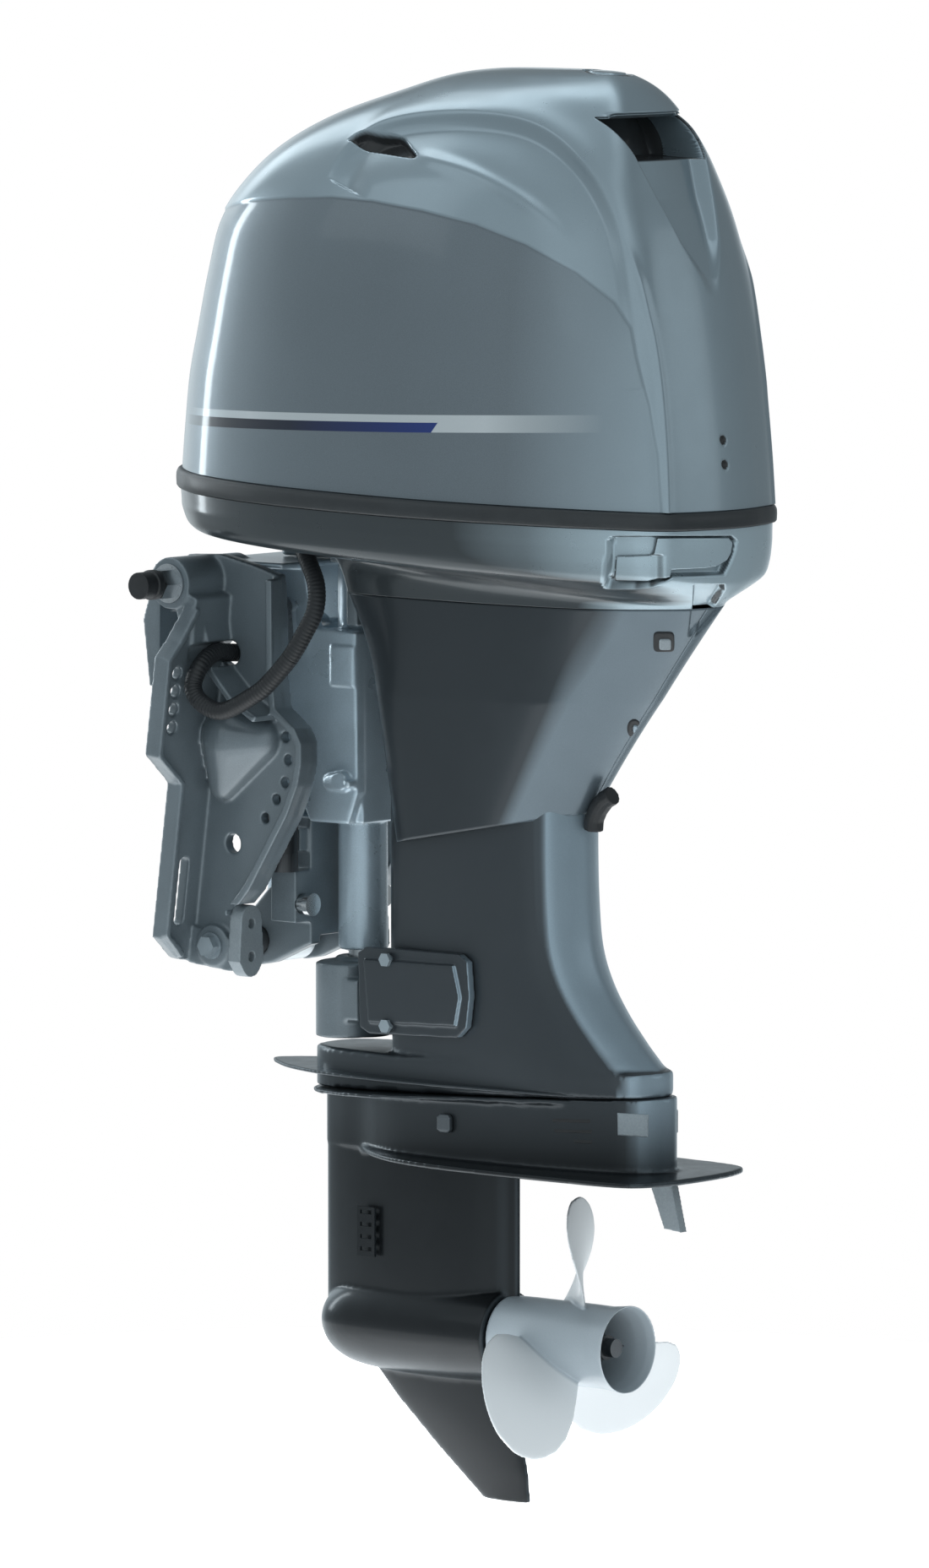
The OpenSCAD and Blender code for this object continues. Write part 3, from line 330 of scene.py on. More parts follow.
for k in ("leg_paint", "apron_paint"):
    for nd in M[k].node_tree.nodes:
        if nd.type == "BSDF_PRINCIPLED":
            nd.inputs["Coat Weight"].default_value = 0.35; nd.inputs["Coat Roughness"].default_value = 0.16; nd.inputs["Specular IOR Level"].default_value = 0.30; nd.inputs["Specular Tint"].default_value = (0.82, 0.93, 1.0, 1)
# the tilt cylinder takes the lighter painted-light copy of the bracket paint
NODES["tilt_cylinder"].data.materials[0] = M["swivel_paint_lit_copy"]
for k in ("cover_bolts", "propeller_nut", "tie_bolt"):
    NODES[k].data.materials[0] = M["bracket_paint"] if k != "propeller_nut" else M["black_coated_steel"]
NODES["water_inlet_screens"].data.materials[0] = M["leg_paint"]
NODES["propeller_shaft"].data.materials[0] = M["shaft_end"]
SLOT = {s["node"]: s["material_slot"] for s in frame["record"]["subparts"]}

# ------------------------------------------------------------------ mesh helpers
def obj_from(name, V, F, mat, body, smooth=True, attrs=None):
    me = bpy.data.meshes.new(name)
    me.from_pydata([tuple(v) for v in (np.asarray(V) * MM)], [], [tuple(int(i) for i in f) for f in F])
    me.update()
    bm = bmesh.new(); bm.from_mesh(me)
    bmesh.ops.recalc_face_normals(bm, faces=bm.faces)
    bm.to_mesh(me); bm.free()
    if smooth: me.polygons.foreach_set("use_smooth", [True] * len(me.polygons))
    for k, v in (attrs or {}).items():
        a = me.attributes.new(k, "FLOAT", "POINT"); a.data.foreach_set("value", np.asarray(v, np.float32))
    ob = bpy.data.objects.new(name, me)
    bpy.context.scene.collection.objects.link(ob)
    me.materials.append(mat)
    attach(ob, body)
    return ob

def grid_faces(r, c, wrap_c=False, wrap_r=False, off=0):
    F = []
    for i in range(r if wrap_r else r - 1):
        for j in range(c if wrap_c else c - 1):
            a, b2 = i * c + j, i * c + (j + 1) % c
            d, e = ((i + 1) % r) * c + j, ((i + 1) % r) * c + (j + 1) % c
            F.append((off + a, off + b2, off + e, off + d))
    return F

def cr(P, t):
    P = np.asarray(P, float); n = len(P)
    i = np.clip(np.floor(t).astype(int), 0, n - 2); f = (t - i)[:, None]
    g = lambda k: P[np.clip(k, 0, n - 1)]
    a, b, c, d = g(i - 1), g(i), g(i + 1), g(i + 2)
    return 0.5 * (2 * b + (c - a) * f + (2 * a - 5 * b + 4 * c - d) * f * f + (3 * b - a - 3 * c + d) * f ** 3)

def half(P, m):
    P = np.asarray(P, float)
    Ex = np.vstack([[P[1][0], -P[1][1]], P, [P[-2][0], -P[-2][1]]])
    t = np.linspace(1, len(P), m)
    H = cr(Ex, np.minimum(t, len(P) - 1e-9)); H[0] = P[0]; H[-1] = P[-1]
    return H

def whole(H):
    return np.vstack([H, H[-2:0:-1] * np.array([1, -1])])

def smoothstep(x, a, b):
    t = np.clip((x - a) / (b - a), 0, 1); return t * t * (3 - 2 * t)

def sd_poly(P, Q):
    """signed distance of points P (n,2) to polygon Q, positive inside"""
    Q = np.asarray(Q, float); d = np.full(len(P), 1e9); inside = np.zeros(len(P), bool)
    for i in range(len(Q)):
        a, b = Q[i], Q[(i + 1) % len(Q)]
        ab = b - a; ap = P - a
        t = np.clip((ap @ ab) / (ab @ ab), 0, 1)[:, None]
        d = np.minimum(d, np.linalg.norm(ap - t * ab, axis=1))
        c = ((a[1] > P[:, 1]) != (b[1] > P[:, 1]))
        with np.errstate(divide="ignore", invalid="ignore"):
            xi = (b[0] - a[0]) * (P[:, 1] - a[1]) / (b[1] - a[1]) + a[0]
        inside ^= c & (P[:, 0] < xi)
    return np.where(inside, d, -d)

def sd_line(P, Q):
    Q = np.asarray(Q, float); d = np.full(len(P), 1e9); s = np.ones(len(P))
    for i in range(len(Q) - 1):
        a, b = Q[i], Q[i + 1]; ab = b - a; ap = P - a
        t = np.clip((ap @ ab) / (ab @ ab), 0, 1)[:, None]
        dd = np.linalg.norm(ap - t * ab, axis=1)
        sg = np.sign(ab[0] * ap[:, 1] - ab[1] * ap[:, 0])
        s = np.where(dd < d, sg, s); d = np.minimum(d, dd)
    return d, s

def smooth_line(Q, per=8):
    return cr(np.array(Q, float), np.linspace(0, len(Q) - 1.0001, (len(Q) - 1) * per + 1))

CAM_C = np.array(cam.location) * 1000
R_, B_ = np.array([math.cos(A), math.sin(A), 0]), np.array(back)
U_ = np.cross(B_, R_)
def view_xy(P):
    """where a point falls in the 1100 x 1857 view"""
    d = np.asarray(P, float) - CAM_C; zz = -(d @ B_)
    return np.stack([550 + 13900 * (d @ R_) / zz, 928.5 - 13900 * (d @ U_) / zz], -1)

def grid_normals(G, wrap_c=True):
    du = np.roll(G, -1, 1) - np.roll(G, 1, 1)
    dv = np.gradient(G, axis=0)
    n = np.cross(du, dv)
    return n / np.maximum(np.linalg.norm(n, axis=-1, keepdims=True), 1e-9)

# ------------------------------------------------------------------ top cowl
COWL_H = [(-56,0),(-50,60),(-20,112),(40,160),(120,185),(210,192),(330,181),(440,147),(520,108),(556,80),(570,40),(574,0)]
LEV = [(111,89,-56,574,192),(150,140,-52,570,191.5),(200,195,-46,564,190),(245,243,-36,557,187),(300,300,-23,546,183),(350,350,-8,531,176),
       (389,389,22,516,164),(423,423,62,503,143),(452,452,118,487,114),(476,476,190,470,80),(491,491,240,450,46),(497.5,497.5,290,425,20),(498.5,498.5,345,365,3)]
def cowl_grid(rows, cols):
    H = half(COWL_H, cols)
    O = whole(H)
    L = cr(np.array(LEV, float), np.linspace(0, len(LEV) - 1.001, rows))
    x = L[:, 2][:, None] + (O[:, 0][None] + 56) * ((L[:, 3] - L[:, 2])[:, None]) / 630
    y = O[:, 1][None] * L[:, 4][:, None] / 192
    z = L[:, 0][:, None] + (L[:, 1] - L[:, 0])[:, None] * (x + 56) / 630
    return np.stack([x, y, z], -1)

def make_top_cowl():
    G = cowl_grid(400, 380)
    r, c, _ = G.shape
    N = grid_normals(G)
    cen = np.array([250, 0, 200.0])
    if ((G - cen) * N).sum() < 0: N = -N
    P = G.reshape(-1, 3); n = N.reshape(-1, 3)
    x, y, z = P[:, 0], P[:, 1], P[:, 2]; ay = np.abs(y)
    side = smoothstep(ay, 40, 60)
    # side panel
    top = [(-80, 350), (29, 359), (94, 370), (163, 376), (220, 378.5), (270, 376), (326, 368.5), (379, 357), (428, 339), (474, 314), (508, 286), (523, 262), (529, 235), (541, 190), (549, 143), (554, 80), (-80, 80)]
    xz = np.stack([x, z], -1)
    d_panel = sd_poly(xz, top)
    d_panel = np.minimum(d_panel, np.where(x > 300, ay - 40, 99))
    disp = -1.4 * smoothstep(d_panel, -1.2, 1.2)
    # arch shaped recess over the vent
    arch = [(205, 405), (212, 424), (226, 442), (246, 452), (290, 458), (342, 459.5), (395, 453), (433, 438), (470, 408), (499, 369), (513, 338), (519, 300), (500, 300), (420, 345), (300, 388), (240, 398)]
    up = smooth_line([(203, 398), (208, 416), (222, 436), (248, 450), (290, 457.5), (342, 459.5), (392, 454), (433, 438), (470, 408), (497, 369), (512, 330), (522, 290), (531, 245), (538, 205)])
    d_arch = sd_poly(xz, list(map(tuple, up)) + [(480, 205), (430, 300), (330, 352), (240, 385)])
    dl, _s = sd_line(xz, up)
    inside = d_arch > 0
    fade = (1 - smoothstep(dl, 8, 66)) * smoothstep(z, 218, 300)
    fade2 = 1 - smoothstep(x, 450, 536)
    start = smoothstep(x, 205, 240)
    disp += np.where(inside, -10.0 * smoothstep(dl, 0, 12) * fade * fade2 * start, 0.0) * smoothstep(ay, 10, 40)
    # soft rolled lip along the arch
    disp += 2.4 * np.exp(-(dl / 13.0) ** 2) * np.where(inside, 1 - smoothstep(dl, 0, 6), 1.0) * smoothstep(ay, 30, 60) * (0.3 + 0.7 * fade2) * start
    # vent, and the edge line down the rear quarter, both mirrored to starboard
    vp, vs = view_xy(P), view_xy(P * np.array([1, -1, 1]))
    vv = np.where((y < 0)[:, None], vp, vs)
    shown = np.where(y < 0, (n @ B_), (n * np.array([1, -1, 1])) @ B_) > 0.02
    vent = smooth_line([(413, 165), (419, 160.5), (428, 157), (446, 154), (464, 152.5), (472, 156), (480, 167), (489, 180), (486, 183.5), (468, 180.5), (440, 173.5), (420, 168.5), (413, 165)], 5)
    d_vent = np.where(shown & (ay > 60) & (z > 380), sd_poly(vv, vent) * 0.81, -99)
    disp += -11.0 * smoothstep(d_vent, -0.5, 1.4)
    ridge = smooth_line([(489, 182), (520, 190), (560, 205), (610, 232), (655, 265), (690, 300)])
    dr, sgr = sd_line(vv, ridge)
    disp += 2.4 * np.exp(-(dr / 9.0) ** 2) * (shown & (ay > 60)) * smoothstep(vv[:, 0], 484, 512) * (1 - smoothstep(vv[:, 0], 620, 690))
    edge = smooth_line([(728, 262), (742, 290), (757, 330), (767, 370), (776, 410), (784, 470), (789, 540), (791.5, 620)])
    de, sge = sd_line(vv, edge)
    onE = shown & (x > 470) & (z < 345)
    disp += (2.0 * np.exp(-(de / 5.0) ** 2) + 1.0 * np.exp(-(de / 16.0) ** 2)) * onE * smoothstep(345 - z, 0, 50)
    Q = P + n * disp[:, None]
    # rear channel, cut forward
    zz = np.array([290, 306, 340, 378, 413, 470]); wi = np.array([0, 4, 20, 32, 42, 48]); dd = np.array([0, 2.0, 11, 17, 18, 13])
    w = np.interp(z, zz, wi); D = np.interp(z, zz, dd)
    rear = smoothstep(x, 400, 440)
    prof = 1 - smoothstep(ay, w - 2, w + 10)
    topcut = 1 - smoothstep(z, 455, 461)
    Q[:, 0] -= D * prof * rear * topcut
    # intake opening behind the lip
    open_h = np.minimum.reduce([50 + (z - 413) * 0.26 - ay, z - 414.5, 456.5 - z, x - 425])
    Q[:, 0] -= 46 * smoothstep(open_h, 0, 2.5)
    # small round plugs low on the rear face
    for (yy, z0) in ((-10, 155), (-10, 132)):
        q = 4.6 - np.hypot(y - yy, z - z0); q = np.where(x > 540, q, -9)
        Q[:, 0] -= 3.0 * smoothstep(q, 0, 1)
        open_h = np.maximum(open_h, q)
    # hole: where the cowl shader paints near-black, painted shade for the vent and the intake opening; the same black
    # also marks the plugs and, below, the oval's ring
    hole = np.maximum(open_h, np.where(d_vent > -90, d_vent, -9))
    # plain oval inset on the crown
    ov = 1 - np.sqrt(((x - 420) / 26) ** 2 + (y / 21) ** 2); ov = np.where(z > 470, ov * 20, -9)
    ring = np.abs(ov - 3) - 1.6
    Q += n * (np.where(z > 470, -1.6 * smoothstep(ov, 0, 1.2) + 1.2 * smoothstep(ov, 5, 6.5), 0.0))[:, None]
    hole = np.maximum(hole, np.where((z > 470), -ring * 1.0 - 0.2, -9))
    # decal stripes
    zs = 172 + 0.022 * (x - 89)
    sil = np.minimum(zs - z, z - (zs - 16.5))
    sil = smoothstep(sil, -0.3, 0.3) * (d_panel > 2) * (1 - smoothstep(x, 410, 505)) * smoothstep(x, 20, 120) * (y < 500)
    dkm = np.minimum.reduce([zs - 7 - z, z - (zs - 17.2), 353 + (z - 168) * 0.7 - x])
    dkm = smoothstep(dkm, -0.3, 0.3) * smoothstep(x, 10, 70) * (d_panel > 2)
    sil = sil * (1 - dkm)
    # inner skin
    keep = slice(0, r)
    inner = Q - n * 4.0
    inner = np.where(hole[:, None] > -3, Q - n * 3.0, inner)
    V = np.vstack([Q, inner])
    F = grid_faces(r, c, True)
    F += [tuple(reversed(f)) for f in grid_faces(r, c, True, off=r * c)]
    for j in range(c):
        F.append((j, r * c + j, r * c + (j + 1) % c, (j + 1) % c))
    last = (r - 1) * c
    F.append([last + j for j in range(c)])
    F.append([r * c + last + j for j in range(c)][::-1])
    z2 = lambda a, f: np.concatenate([a, np.full(len(a), f)])
    ob = obj_from("top_cowl_skin", V, F, M["cowl_paint"], "top_cowl",
                  attrs={"panel": z2(d_panel, -9), "hole": z2(hole, -9), "silver": z2(sil, 0), "dark": z2(dkm, 0)})
    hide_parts("top_cowl")
    return ob
make_top_cowl()

# louvres inside the intake; this function is never called, so none are built
def louvres():
    V, F = [], []
    for k in range(5):
        z = 419 + k * 8.4; x0 = 455 - k * 2.2; w = 50 + k * 1.5
        pts = [(x0, -w, z), (x0 + 12, -w, z - 4), (x0 + 13, -w, z - 2.5), (x0 + 1, -w, z + 1.8)]
        o = len(V)
        V += pts + [(a, w, b) for a, _, b in pts]
        F += [(o, o + 1, o + 2, o + 3), (o + 4, o + 7, o + 6, o + 5)] + [(o + i, o + 4 + i, o + 4 + (i + 1) % 4, o + (i + 1) % 4) for i in range(4)]
    ob = obj_from("intake_louvres", V, F, M["black_plastic"], "top_cowl", smooth=False)

# ------------------------------------------------------------------ seal band and bottom cowl
def scaled(O, xf, xr, w):
    return np.stack([xf + (O[:, 0] + 56) * (xr - xf) / 630, O[:, 1] * w / 192], -1)
def lift(O, za, zb, x0, x1):
    return np.column_stack([O, za + (zb - za) * (O[:, 0] - x0) / (x1 - x0)])
def seal():
    O = whole(half(COWL_H, 150)); R = []
    for (ex, w, t) in [(-8, 184, 0.0), (0.5, 192.0, 0.0), (3.0, 194.6, 0.03), (4.1, 195.7, 0.12), (4.4, 196, 0.5), (4.2, 195.8, 0.72), (3.4, 195, 0.84), (2.4, 194, 0.93), (0.5, 192, 1.0), (-8, 184, 1.0)]:
        R.append(lift(scaled(O, -56 - ex, 574 + ex, w), 92 + 18.6 * t, 72 + 16.6 * t, -56, 574))
    G = np.array(R); ob = obj_from("seam_band", G.reshape(-1, 3), grid_faces(len(R), G.shape[1], True, True), M["seal_rubber"], "motor")
    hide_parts("cowl_seal")
seal()

AP_TOP = [(205,0),(206,40),(210,68),(222,84),(250,94),(310,99),(380,98),(440,92),(485,76),(518,52),(540,26),(546,0)]
AP_MID = [(200,0),(201,38),(205,62),(216,76),(240,84),(300,88),(350,87),(395,80),(425,67),(450,46),(470,22),(476,0)]
AP_LOW = [(198,0),(199,34),(203,52),(213,62),(235,69),(275,70),(310,68),(335,62),(355,52),(373,38),(390,18),(396,0)]
AP_FLARE = [(190,0),(186,38),(168,56),(158,70),(172,83),(215,93),(310,99.5),(380,98),(440,92),(485,76),(518,52),(540,26),(546,0)]
AP_NECK = [(198,0),(196,38),(184,56),(177,68),(188,78),(225,88),(305,94),(366,93),(420,86),(460,70),(489,49),(510,24),(516,0)]
AP_MID2 = [(196,0),(195,38),(190,58),(189,67),(203,77),(236,84.5),(300,88),(350,87),(395,80),(425,67),(450,46),(470,22),(476,0)]
BC = [(0, 91.6, 71.6), (0.004, 82, 62), (0.01, 72, 52), (0.05, 57, 36), (0.15, 50, 22), (0.4, 47, 12), (0.65, 44, 5), (0.82, 37, 1), (0.94, 20, -2), (1, -4.6, -4.6)]
POCKET = [(725, 634.5), (868, 634), (874, 640), (872, 652), (866, 668), (859, 682), (796, 685), (788, 690), (770, 696), (752, 698), (718, 698), (715, 692), (721, 640)]
def bottom_cowl():
    cols = 300
    A0 = whole(half(COWL_H, cols)); B0 = whole(half(AP_FLARE, cols))
    T = cr(np.array(BC, float), np.linspace(0, len(BC) - 1.001, 150))
    R = []
    for b, za, zb in T:
        b = max(b, 0); O = A0 * (1 - b) + B0 * b
        R.append(lift(O, za, zb, -56 + 261 * b, 574 - 28 * b))
    G = np.array(R); r, c, _ = G.shape
    N = grid_normals(G)
    if (N[5, :, :2] * (G[5, :, :2] - np.array([250, 0]))).sum() < 0: N = -N
    P = G.reshape(-1, 3).copy(); n = N.reshape(-1, 3)
    # latch pocket in the port quarter
    x, y, z = P.T
    global TRAY
    TRAY = (P.copy(), grid_faces(r, c, True))
    vw = view_xy(P)
    q = sd_poly(vw, POCKET)
    ok = (n @ B_ > 0.05) & (x > 440)
    q = np.where(ok, q, -99) * 0.81
    P -= n * (9 * smoothstep(q, 0, 2.2))[:, None]
    q2 = np.where(ok, sd_poly(vw, [(822, 692), (858, 692), (858, 700), (836, 734), (820, 752), (816, 752), (820, 716)]), -99) * 0.81
    P -= n * (6 * smoothstep(q2, 0, 2.0))[:, None]
    inner = P - n * 3.5
    inner[:c, 2] = P[:c, 2]; inner[-c:, 2] = P[-c:, 2]
    V = np.vstack([P, inner]); F = grid_faces(r, c, True) + [tuple(reversed(f)) for f in grid_faces(r, c, True, off=r * c)]
    last = (r - 1) * c
    for j in range(c):
        k = (j + 1) % c
        F.append((j, r * c + j, r * c + k, k)); F.append((last + j, last + k, r * c + last + k, r * c + last + j))
    ob = obj_from("lower_cowl_tray", V, F, M["tray_paint"], "motor")
    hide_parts("bottom_cowl")
bottom_cowl()

# ------------------------------------------------------------------ apron, two halves
def apron(sg, name, node):
    H = [half(P, 150) for P in (AP_FLARE, AP_NECK, AP_MID2, AP_LOW)]
    ks = np.array([0, 0.42, 1.0, 2.0])
    rows = 90; R, Ri = [], []
    for i in range(rows):
        u = 2 * i / (rows - 1)
        if u <= 1.0:
            w3 = [(u - 0.42) * (u - 1) / 0.42, u * (u - 1) / (0.42 * -0.58), u * (u - 0.42) / 0.58]
            O = w3[0] * H[0] + w3[1] * H[1] + w3[2] * H[2]
        else:
            O = H[2] * (2 - u) + H[3] * (u - 1)
        zf = -5 - np.interp(u, [0, 1, 2], [0, 95, 240]); zr = -5 - np.interp(u, [0, 1, 2], [0, 93, 204])
        k = np.gradient(O, axis=0); nn = np.column_stack([-k[:, 1], k[:, 0]]); nn /= np.linalg.norm(nn, axis=1, keepdims=True)
        # a soft hollow behind the flat flank, so the rear quarter turns away
        O2 = O.copy()
        O2[:, 1] = np.maximum(O2[:, 1], 0.15)
        I = O - nn * -4.0 * (1 if (nn[len(nn)//2, 1] < 0) else -1)
        I[:, 1] = np.clip(I[:, 1], 0.15, None)
        O3 = lift(O2, zf, zr, 200, 396)
        vw = view_xy(O3 * np.array([1, -1, 1])); q2 = sd_poly(vw, [(822, 692), (858, 692), (858, 700), (836, 734), (820, 752), (816, 752), (820, 716)]) * 0.81
        O3[:, :2] -= (-nn * (1 if (nn[len(nn)//2, 1] < 0) else -1)) * (5.0 * smoothstep(q2, 0, 2.0) * (O[:, 0] > 440))[:, None]
        O3[:, 1] = np.maximum(O3[:, 1], 0.15)
        R.append(O3); Ri.append(lift(I, zf, zr, 200, 396))
    G = np.array(R); Gi = np.array(Ri); r, c, _ = G.shape
    V = np.vstack([G.reshape(-1, 3), Gi.reshape(-1, 3)]); V[:, 1] *= sg
    m = r * c
    F = grid_faces(r, c) + [tuple(reversed(f)) for f in grid_faces(r, c, off=m)]
    for j in range(c - 1):
        F += [(j, m + j, m + j + 1, j + 1), (m - c + j, m - c + j + 1, 2 * m - c + j + 1, 2 * m - c + j)]
    for i in range(r - 1):
        F += [(i * c, (i + 1) * c, m + (i + 1) * c, m + i * c), (i * c + c - 1, m + i * c + c - 1, m + (i + 1) * c + c - 1, (i + 1) * c + c - 1)]
    ob = obj_from(name, V, F, M["apron_paint"], "motor")
    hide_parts(node)
    return V, F
APRON_PORT = apron(-1, "apron_skin_port", "apron_port"); apron(1, "apron_skin_starboard", "apron_starboard")

# ------------------------------------------------------------------ leg castings by voxel remesh
def remesh(ob, voxel, it, factor=0.5):
    md = ob.modifiers.new("v", "REMESH"); md.mode = "VOXEL"; md.voxel_size = voxel * MM; md.use_smooth_shade = True
    if it:
        sm = ob.modifiers.new("s", "SMOOTH"); sm.factor = factor; sm.iterations = it
    dg = bpy.context.evaluated_depsgraph_get()
    me = bpy.data.meshes.new_from_object(ob.evaluated_get(dg))
    old = ob.data; mats = list(old.materials)
    ob.modifiers.clear(); ob.data = me
    me.materials.clear()
    for q in mats: me.materials.append(q)
    me.polygons.foreach_set("use_smooth", [True] * len(me.polygons))
    me.polygons.foreach_set("material_index", [0] * len(me.polygons))
    me.update()
    return ob

def cast_copy(node, name, voxel, it, body, slot=None):
    src = NODES[node]
    ob = bpy.data.objects.new(name, src.data.copy())
    bpy.context.scene.collection.objects.link(ob)
    bm = bmesh.new(); bm.from_mesh(ob.data); bmesh.ops.remove_doubles(bm, verts=bm.verts, dist=1e-6); bm.to_mesh(ob.data); bm.free()
    remesh(ob, voxel, it)
    ob.data.materials.clear(); ob.data.materials.append(M["swivel_paint_lit_copy"] if node == "swivel_bracket" else M["plug_paint"] if node == "gearcase_anode" else M[slot or SLOT[node]])
    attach(ob, body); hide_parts(node)
    return ob

def join_mesh(name, parts):
    me = bpy.data.meshes.new(name); bm = bmesh.new()
    for V, F in parts:
        vs = [bm.verts.new(Vector(v) * MM) for v in V]
        for f in F:
            try: bm.faces.new([vs[i] for i in f])
            except ValueError: pass
    bmesh.ops.recalc_face_normals(bm, faces=bm.faces)
    bm.to_mesh(me); bm.free()
    ob = bpy.data.objects.new(name, me); bpy.context.scene.collection.objects.link(ob)
    return ob

def loft(R, closed=True):
    G = np.array(R); r, c, _ = G.shape
    F = grid_faces(r, c, True)
    F.append(list(range(c))[::-1]); F.append([(r - 1) * c + j for j in range(c)])
    return G.reshape(-1, 3), F

def stack(pairs, n=70):
    """pairs of (half outline, z or (za, zb, x0, x1))"""
    R = []
    for P, z in pairs:
        O = whole(half(P, n))
        R.append(lift(O, *z) if isinstance(z, tuple) else lift(O, z, z, 0, 1))
    return R
def smooth_rows(R, n):
    G = np.array(R); t = np.linspace(0, len(R) - 1.0001, n)
    i = np.floor(t).astype(int); f = (t - i)[:, None, None]
    g = lambda k: G[np.clip(k, 0, len(R) - 1)]
    a, b, c, d = g(i - 1), g(i), g(i + 1), g(i + 2)
    return list(0.5 * (2 * b + (c - a) * f + (2 * a - 5 * b + 4 * c - d) * f * f + (3 * b - a - 3 * c + d) * f ** 3))

CASE_A = [(209,0),(210,16),(214,30),(228,41),(262,48),(290,49),(320,48),(345,44),(362,37),(376,27),(386,13),(388,0)]
CASE_B = [(181,0),(181,26),(184,39),(198,50),(246,57),(290,58),(325,56),(352,50),(370,42.5),(379,37),(387,24),(392,12),(395,0)]
CASE_D = [(74,0),(75,14),(82,30),(110,45),(160,54),(230,58),(310,58),(380,54),(444,44),(473,33),(485,17),(489,0)]
LC_TOP = [(74,0),(75,7),(84,15),(108,24),(140,32),(172,45),(205,54),(250,58),(310,58),(380,54),(448,42),(479,30),(493,15),(498,0)]
AV = [(112,0),(116,9),(130,24),(168,55),(215,80),(270,93),(340,97),(420,96),(490,92),(522,80),(537,45),(540,0)]
LIP = [(66,0),(70,14),(84,38),(110,58),(150,72),(190,78),(240,76),(290,66),(340,60),(400,54),(440,49),(446,47)]
STRUT = [(73,0),(75,6),(84,14),(105,22),(140,29),(185,32),(230,30),(265,23),(290,13),(303,6),(310,3),(312,0)]
def tall(P, xr):
    return [(181 + (a - 181) * (xr - 181) / 214.0, b) for a, b in P]
def upper_case():
    mid = smooth_rows(stack([(CASE_B, -196), (CASE_B, -250), (tall(CASE_B, 397), -300), (tall(CASE_B, 402), -340), (tall(CASE_B, 415), -372), (tall(CASE_B, 436), -402), (tall(CASE_B, 462), -430), (tall(CASE_B, 484), -452), (tall(CASE_B, 490), -474)]), 60)
    lo = stack([(CASE_D, -450), (CASE_D, -460), (CASE_D, (-490.8, -472.8, 74, 494))])
    up = stack([(CASE_A, 45), (CASE_A, -210)])
    ob = join_mesh("upper_case_casting", [loft(mid), loft(lo), loft(up)])
    ob.data.materials.append(M["leg_paint"])
    remesh(ob, 2.6, 5)
    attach(ob, "motor"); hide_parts("upper_case")
upper_case()

def lower_case():
    parts = []
    parts.append(loft(stack([(LC_TOP, (-491.4, -473.4, 74, 494)), (LC_TOP, -520), (LC_TOP, -547)])))
    sk = 1.0
    parts.append(loft(stack([([(a, b) for a, b in AV], -550.3), (AV, -544.7)])))
    lipz = lambda dz: (-491.5 + dz, -473.5 + dz, 74, 494)
    lw = LIP[:-1] + [(446, 0)]
    parts.append(loft(stack([(LIP[:-2] + [(436, 30), (446, 0)], lipz(-4.2)), (LIP[:-2] + [(436, 30), (446, 0)], lipz(0))])))
    parts.append(loft(smooth_rows(stack([(STRUT, -545), (STRUT, -600), (STRUT, -660), (STRUT, -719)]), 20)))
    # torpedo
    prof = [(0.5,72),(9,73.5),(18,77.5),(28,86),(36,98),(42,116),(45,140),(46.3,175),(46.3,235),(45,270),(43.5,299.5)]
    PR = cr(np.array(prof, float), np.linspace(0, len(prof) - 1.001, 50)); th = np.linspace(0, 2 * math.pi, 65)[:-1]
    parts.append(loft([np.column_stack([np.full(64, x), r * np.sin(th), -719 + r * np.cos(th)]) for r, x in PR]))
    # skeg, tapered to its leading and trailing edges
    sk = [(112,-740),(135,-766),(158,-790),(211,-835),(266,-878),(326,-880),(323,-850),(298,-735)]
    rows = []
    for z in np.linspace(-735, -879.3, 30):
        xl = np.interp(-z, [735, 766, 790, 835, 878, 880], [105, 135, 158, 211, 266, 268]); xr = np.interp(-z, [735, 850, 880], [298, 323, 326])
        t = np.linspace(0, 1, 15); w = 5.4 * (np.sin(np.pi * np.clip(t, 0, 1)) ** 0.55) + 0.6
        xs = xl + (xr - xl) * t
        rows.append(np.vstack([np.column_stack([xs, w, np.full(15, z)]), np.column_stack([xs[::-1], -w[::-1], np.full(15, z)])]))
    parts.append(loft(rows))
    ob = join_mesh("gearcase_casting", parts)
    ob.data.materials.append(M["leg_paint"])
    remesh(ob, 1.9, 6)
    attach(ob, "motor"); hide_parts("lower_case")
    return ob
GEARCASE = lower_case()

def splash():
    S = [(3,0),(8,9),(22,22),(60,46),(116,64),(180,72),(240,72),(300,68),(360,62),(410,54),(436,40),(446,0)]
    ob = join_mesh("splash_plate_casting", [loft(stack([(S, -474.9), (S, -471.4)]))])
    ob.data.materials.append(M["leg_paint"])
    remesh(ob, 1.6, 2)
    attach(ob, "motor"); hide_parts("splash_plate")
splash()

# ------------------------------------------------------------------ brackets and other castings, edges rounded
for node, name, vox, it, body in [("port_clamp_bracket", "port_bracket_casting", 1.6, 4, "clamp"), ("starboard_clamp_bracket", "starboard_bracket_casting", 1.8, 4, "clamp"),
        ("swivel_bracket", "swivel_casting", 1.8, 4, "swivel"), ("lower_yoke", "yoke_casting", 1.8, 5, "motor"), ("steering_bracket", "steering_casting", 1.8, 4, "motor"),
        ("trim_unit_housing", "trim_unit_casting", 1.6, 4, "clamp"), ("lower_mount_covers", "mount_cover_castings", 1.3, 6, "motor"), ("bracket_anodes", "bracket_anode_blocks", 1.0, 3, "clamp"),
        ("trim_tab", "trim_tab_casting", 1.0, 3, "motor"), ("exhaust_outlet", "exhaust_elbow", 1.0, 4, "motor"), ("gearcase_anode", "side_anode_pads", 0.8, 2, "motor"), ("tilt_tube_cap", "tube_cap", 0.7, 3, "clamp")]:
    cast_copy(node, name, vox, it, body)

